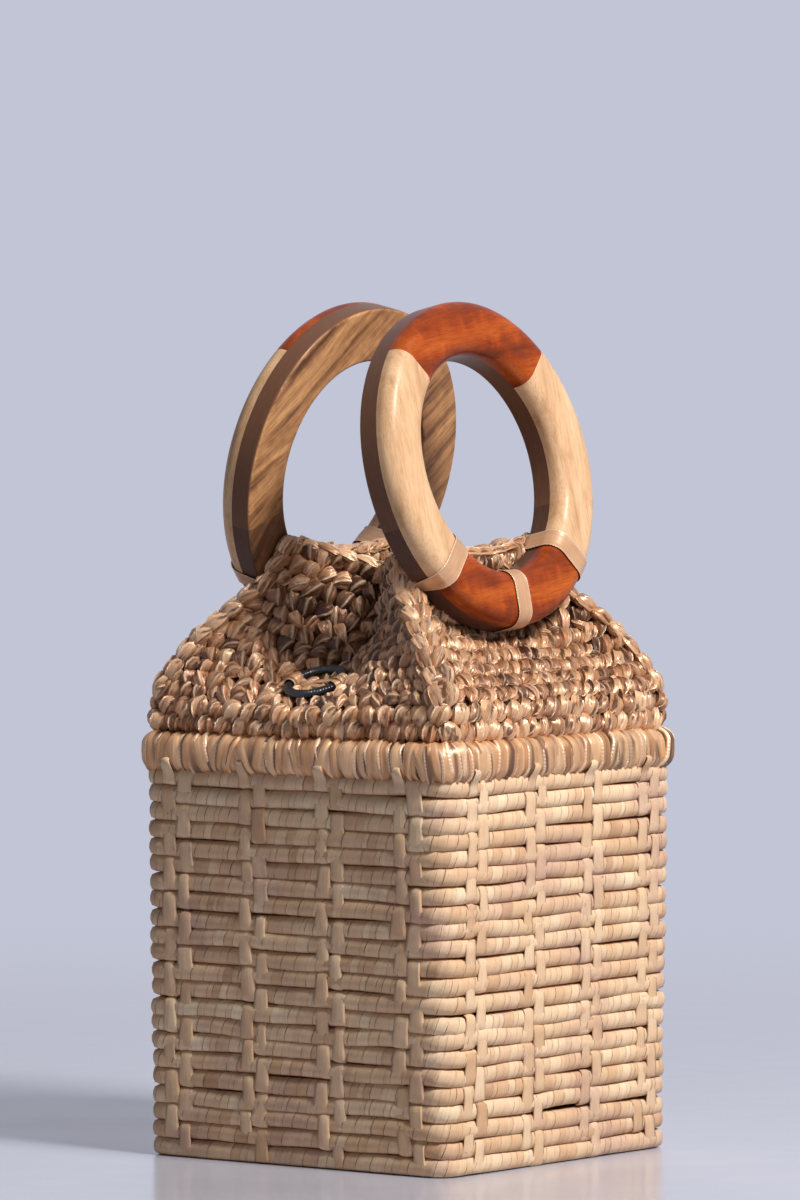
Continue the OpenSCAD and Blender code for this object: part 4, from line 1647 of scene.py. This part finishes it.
class RingWood(Enum):
    """The woods of a ring, by layer and place."""

    RED = WoodFinish(
        "red_wood", screen(186, 90, 28), screen(154, 62, 14), screen(92, 34, 8),
        grain=8.0, streaks=0.3, bands=16.0, gloss=0.3, soft=0.3)
    PALE = WoodFinish(
        "pale_wood", screen(232, 196, 156), screen(216, 174, 132), screen(170, 122, 82),
        grain=90.0, streaks=0.1, bands=16.0, gloss=0.3, soft=0.34)
    WALNUT = WoodFinish(
        "walnut", screen(206, 154, 102), screen(170, 120, 78), screen(92, 60, 38),
        grain=138.0, streaks=0.1, bands=20.0, end_grain=screen(112, 76, 56), soft=0.17)
    DARK_WALNUT = WoodFinish(
        "dark_walnut", screen(150, 104, 70), screen(112, 76, 52), screen(66, 42, 30),
        grain=110.0, streaks=0.12, bands=20.0, end_grain=screen(92, 62, 48), soft=0.2)


class TieSide(Enum):
    """Where a tie holds a ring, as its angle from the lowest point in degrees."""

    LEFT = -45
    MIDDLE = 0
    RIGHT = 45


def band(way: Array, face: Array, width: Array, seed: int) -> Shape:
    """A closed band of ribbon with stitched selvedges.

    Args:
        way: Points round the band's section, as X and Z.
        face: Outward directions at them.
        width: The ribbon's width at them, along Y.
        seed: Start of the random ripples.

    Returns:
        The band.
    """
    across = np.array([-0.5, -0.475, -0.43, -0.2, 0.04, 0.24, 0.43, 0.475, 0.5, 0.3, -0.3])
    lift = np.array([0.12, 0.42, 0.24, 0.32, 0.36, 0.3, 0.24, 0.42, 0.12, -0.1, -0.1])
    share = np.arange(len(way)) / len(way)
    ripple = np.stack([Wander(seed * 20 + k, 0.05, 6).at(share) for k in range(len(across))], -1)
    height = lift + ripple * (lift > 0)
    drift = Wander(seed * 20 + 15, 0.2, 3).at(share)
    rings = lifted(way, face, height, width[:, None] * across + drift[:, None])
    return skin(rings, np.array([1, 1, 0.6, 0, 0, 0, 0.6, 1, 1, 0, 0.0]), closed=True)


@dataclass
class RibbonTie:
    """A satin ribbon drawn round the section of a ring and in behind it to the crochet."""

    face_t: float = 9.0
    back_t: float = 10.0
    face_round: float = 7.0
    back_round: float = 1.5
    gap: float = 0.45
    width: float = 10.0
    pinch: float = 0.45
    middle_pinch: float = 0.25
    steps: int = 56

    def way(self) -> tuple[Array, Array]:
        """Points and outward directions round the ring's section, from the middle of its outer side."""
        inner, outer = HOLE_R - self.gap - 0.25, RING_R + self.gap
        top, bottom = self.face_t + self.gap, -self.back_t - self.gap
        spots, faces = [], []
        for k, (x, z, r) in enumerate((
            (outer, top, self.face_round), (inner, top, self.face_round),
            (inner, bottom, self.back_round), (outer, bottom, self.back_round),
        )):
            r = r + self.gap
            angle = (k + np.linspace(0, 1, 9)) * TURN / 4
            face = np.stack([np.cos(angle), np.sin(angle)], -1)
            middle = np.array([x - r if x == outer else x + r, z - r if z == top else z + r])
            spots.append(middle + r * face)
            faces.append(face)
        spot, face = np.concatenate(spots), np.concatenate(faces)
        loop = np.concatenate([spot, spot[:1]])
        run = run_along(loop)
        wanted = np.arange(self.steps) / self.steps * run[-1]
        facing = np.concatenate([face, face[:1]])
        return points_at(wanted, run, loop), unit(points_at(wanted, run, facing))

    def build(self, name: str, ring: RingPlace, side: TieSide,
              satin: bpy.types.Material) -> bpy.types.Object:
        """Makes one tie.

        Args:
            name: The piece's name.
            ring: The ring that it holds.
            side: Where on the ring.
            satin: Its finish.

        Returns:
            The piece.
        """
        way, face = self.way()
        behind = np.clip((self.face_t - way[:, 1]) / (self.face_t + self.back_t), 0, 1)
        outside = np.clip((way[:, 0] - HOLE_R) / (RING_R - HOLE_R), 0, 1)
        pinch = self.middle_pinch if side is TieSide.MIDDLE else 1 - self.pinch
        width = self.width * (1 - pinch * behind * outside)
        shape = band(way, face, width, 7 + side.value // 45 + ring.value // 45)
        turn = ring.turned() @ Matrix.Rotation(math.radians(side.value - 90), 3, "Z")
        shape.points = shape.points @ np.array(turn).T + np.array(ring.middle())
        return shape.dressed(name, 0.6, satin)


class StrapSide(Enum):
    """The side of the bag that a strap ring lies on."""

    LEFT = -1
    RIGHT = 1


@dataclass
class StrapRing:
    """A cord-wound ring on the shelf of a gusset, sewn down on both sides with ribbon."""

    form: HoodForm
    side: StrapSide
    turns: int = 60
    cord_sides: int = 12
    lash_angle: float = 32.0
    lash_width: float = 4.4
    lash_steps: int = 24

    def place(self, angle: float) -> tuple[Array, Matrix]:
        """Spot on the middle of the cord at an angle, with its axes outwards, along and up."""
        form = self.form
        turn = np.diag([self.side.value, self.side.value, 1])
        out = math.cos(angle) * -form.shelf_dir + math.sin(angle) * np.array([0.0, 1.0, 0.0])
        along = math.cos(angle) * np.array([0.0, 1.0, 0.0]) + math.sin(angle) * form.shelf_dir
        spot = form.strap_mid + out * (form.strap_r - form.strap_half)
        return turn @ spot, axes_of(turn @ out, turn @ along)

    def build_ring(self, tree: LaidTree, name: str, cord: bpy.types.Material) -> bpy.types.Object:
        """Winds the ring from short turns of cord."""
        form = self.form
        pitch = TURN * (form.strap_r - form.strap_half) / self.turns
        angle = np.arange(self.cord_sides) / self.cord_sides * TURN
        rings = np.empty((5, self.cord_sides, 3))
        for k, (y, r) in enumerate(((-0.7, 0.8), (-0.4, 0.95), (0.0, 1.0), (0.4, 0.95), (0.7, 0.8))):
            rings[k, :, 0] = form.strap_half * r * np.cos(angle)
            rings[k, :, 1] = y * pitch + 0.25 * np.sin(angle)
            rings[k, :, 2] = form.strap_half * r * np.sin(angle)
        laying = Laying()
        for turn in range(self.turns):
            spot, axes = self.place(turn / self.turns * TURN)
            laying.add(spot, axes, (1.0, 1.0, 1.0), 0, 0.5)
        shapes = [skin(rings, np.zeros(self.cord_sides))]
        return laying.grow(tree, name, shapes, cord, 43, turn=2, size=0.03)

    def build_lashing(self, tree: LaidTree, name: str, satin: bpy.types.Material) -> bpy.types.Object:
        """Winds ribbon round the ring's two sides and lays two strands across its hole."""
        form = self.form
        angle = np.arange(self.lash_steps) / self.lash_steps * TURN
        face = np.stack([np.cos(angle), np.sin(angle)], -1)
        width = np.full(self.lash_steps, self.lash_width)
        shapes = [band(face * (form.strap_half + 0.35), face, width, 30 + k) for k in range(2)]
        shapes.append(SatinLoop(
            length=22.0, width=5.0, depth=2.4, head=1.0, folds=5, crease=0.25, twist=1.5, arch=0.0,
            seed=170, blunt=4.0).shape())
        draw = np.random.default_rng(47)
        laying = Laying()
        for side in (TURN / 4, 3 * TURN / 4):
            for step in (-1, 0, 1):
                spot, axes = self.place(side + step * math.radians(self.lash_angle) / 3)
                laying.add(spot, about(axes, draw.normal(0, 9), "X"), (1.0, 1.0, 1.0),
                           int(draw.integers(2)), float(draw.uniform(0.5, 0.9)))
        for shift, lean in ((-2.2, 10), (2.4, -8)):
            spot, axes = self.place(TURN / 4)
            across, along, down = (np.array(axes.col[k]) for k in range(3))
            mid = spot - across * (form.strap_r - form.strap_half) + along * shift - down * 1.6
            laying.add(mid, about(axes_of(axes.col[1], axes.col[0]), lean), (1.0, 1.0, 1.0), 2, 0.8)
        return laying.grow(tree, name, shapes, satin, 53)


def dress_rings() -> None:
    """Gives each piece of the rings its wood."""
    woods = {"top": RingWood.RED, "bottom": RingWood.RED, "left": RingWood.PALE, "right": RingWood.PALE,
             "back_upper": RingWood.WALNUT, "back_lower": RingWood.DARK_WALNUT}
    for ring in RingPlace:
        made = {wood: wood.value.make(ring) for wood in RingWood}
        for place, wood in woods.items():
            node = frame["nodes"][f"{ring.name.lower()}_ring_{place}"]
            node.data.materials.clear()
            node.data.materials.append(made[wood])
            log.info("%s: %s", node.name, wood.name.lower())


def keep(piece: bpy.types.Object, slot: str, *nodes: str) -> bpy.types.Object:
    """Rides a piece on the bag, hides the solids that it replaces, and logs its faces.

    Args:
        piece: The piece.
        slot: Its material slot in the record; not used.
        *nodes: The solids that it replaces.

    Returns:
        The piece.
    """
    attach(piece, ROOT)
    if nodes:
        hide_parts(*nodes)
    log.info("%s: %d faces", piece.name, len(piece.data.polygons))
    return piece


def main() -> None:
    """Builds the bag piece by piece."""
    logging.basicConfig(level=logging.INFO, format="%(name)s %(message)s")
    Studio().build()
    coil_tree, laid_tree = CoilTree(), LaidTree()

    basket = CoiledBasket()
    coil_straw = StrawFinish("coil_straw", along=900.0, up=60.0, line_depth=0.5, laps=True).make()
    stitch_straw = StrawFinish("stitch_straw", along=26.0, up=2.2, line_depth=0.35, laps=False).make()
    keep(basket.build_wall(coil_tree, coil_straw), "straw", "basket")
    keep(basket.build_base(coil_tree, coil_straw), "straw")
    keep(basket.build_stitches(laid_tree, stitch_straw), "straw")

    rim = BoundRim()
    rim_satin = RibbonFinish(
        "rim_satin", screen(86, 52, 30), screen(206, 150, 102), screen(250, 208, 160),
        screen(246, 214, 184), gloss=0.36, shine=0.9, gathers=4.0, metal=0.4).make()
    keep(rim.build_core(rim_satin), "ribbon", "rim_binding")
    keep(rim.build_turns(laid_tree, rim_satin), "ribbon")

    hood = CrochetHood()
    crochet_satin = RibbonFinish("crochet_satin").make()
    # Painted shade: a dark satin for the shell, so the gaps between stitches read as shadow.
    shade_satin = RibbonFinish(
        "shade_satin", screen(52, 32, 20), screen(66, 42, 28), screen(84, 56, 38),
        gloss=0.6, shine=0.1, metal=0.0).make()
    keep(hood.build_shell(shade_satin), "crochet", "hood")
    for build in (hood.build_collar, hood.build_flaps, hood.build_gussets, hood.build_inside,
                  hood.build_braids):
        keep(build(laid_tree, crochet_satin), "crochet")

    dress_rings()
    tie_satin = RibbonFinish(
        "tie_satin", screen(140, 96, 66), screen(202, 152, 112), screen(236, 194, 154),
        screen(244, 218, 188), stitch_rows=64.0, gathering=0.12, threading=0.4).make()
    tie = RibbonTie()
    for ring in RingPlace:
        for side in TieSide:
            name = f"{ring.name.lower()}_tie_{side.name.lower()}"
            keep(tie.build(name + "_ribbon", ring, side, tie_satin), "ribbon", name)
    black_cord = CordFinish("black_cord").make()
    for side in StrapSide:
        strap = StrapRing(hood.form, side)
        name = side.name.lower() + "_strap"
        keep(strap.build_ring(laid_tree, name + "_cord", black_cord), "black_cord", name + "_ring")
        keep(strap.build_lashing(laid_tree, name + "_ribbon", crochet_satin), "ribbon", name + "_lashing")


if __name__ == "__main__":
    main()
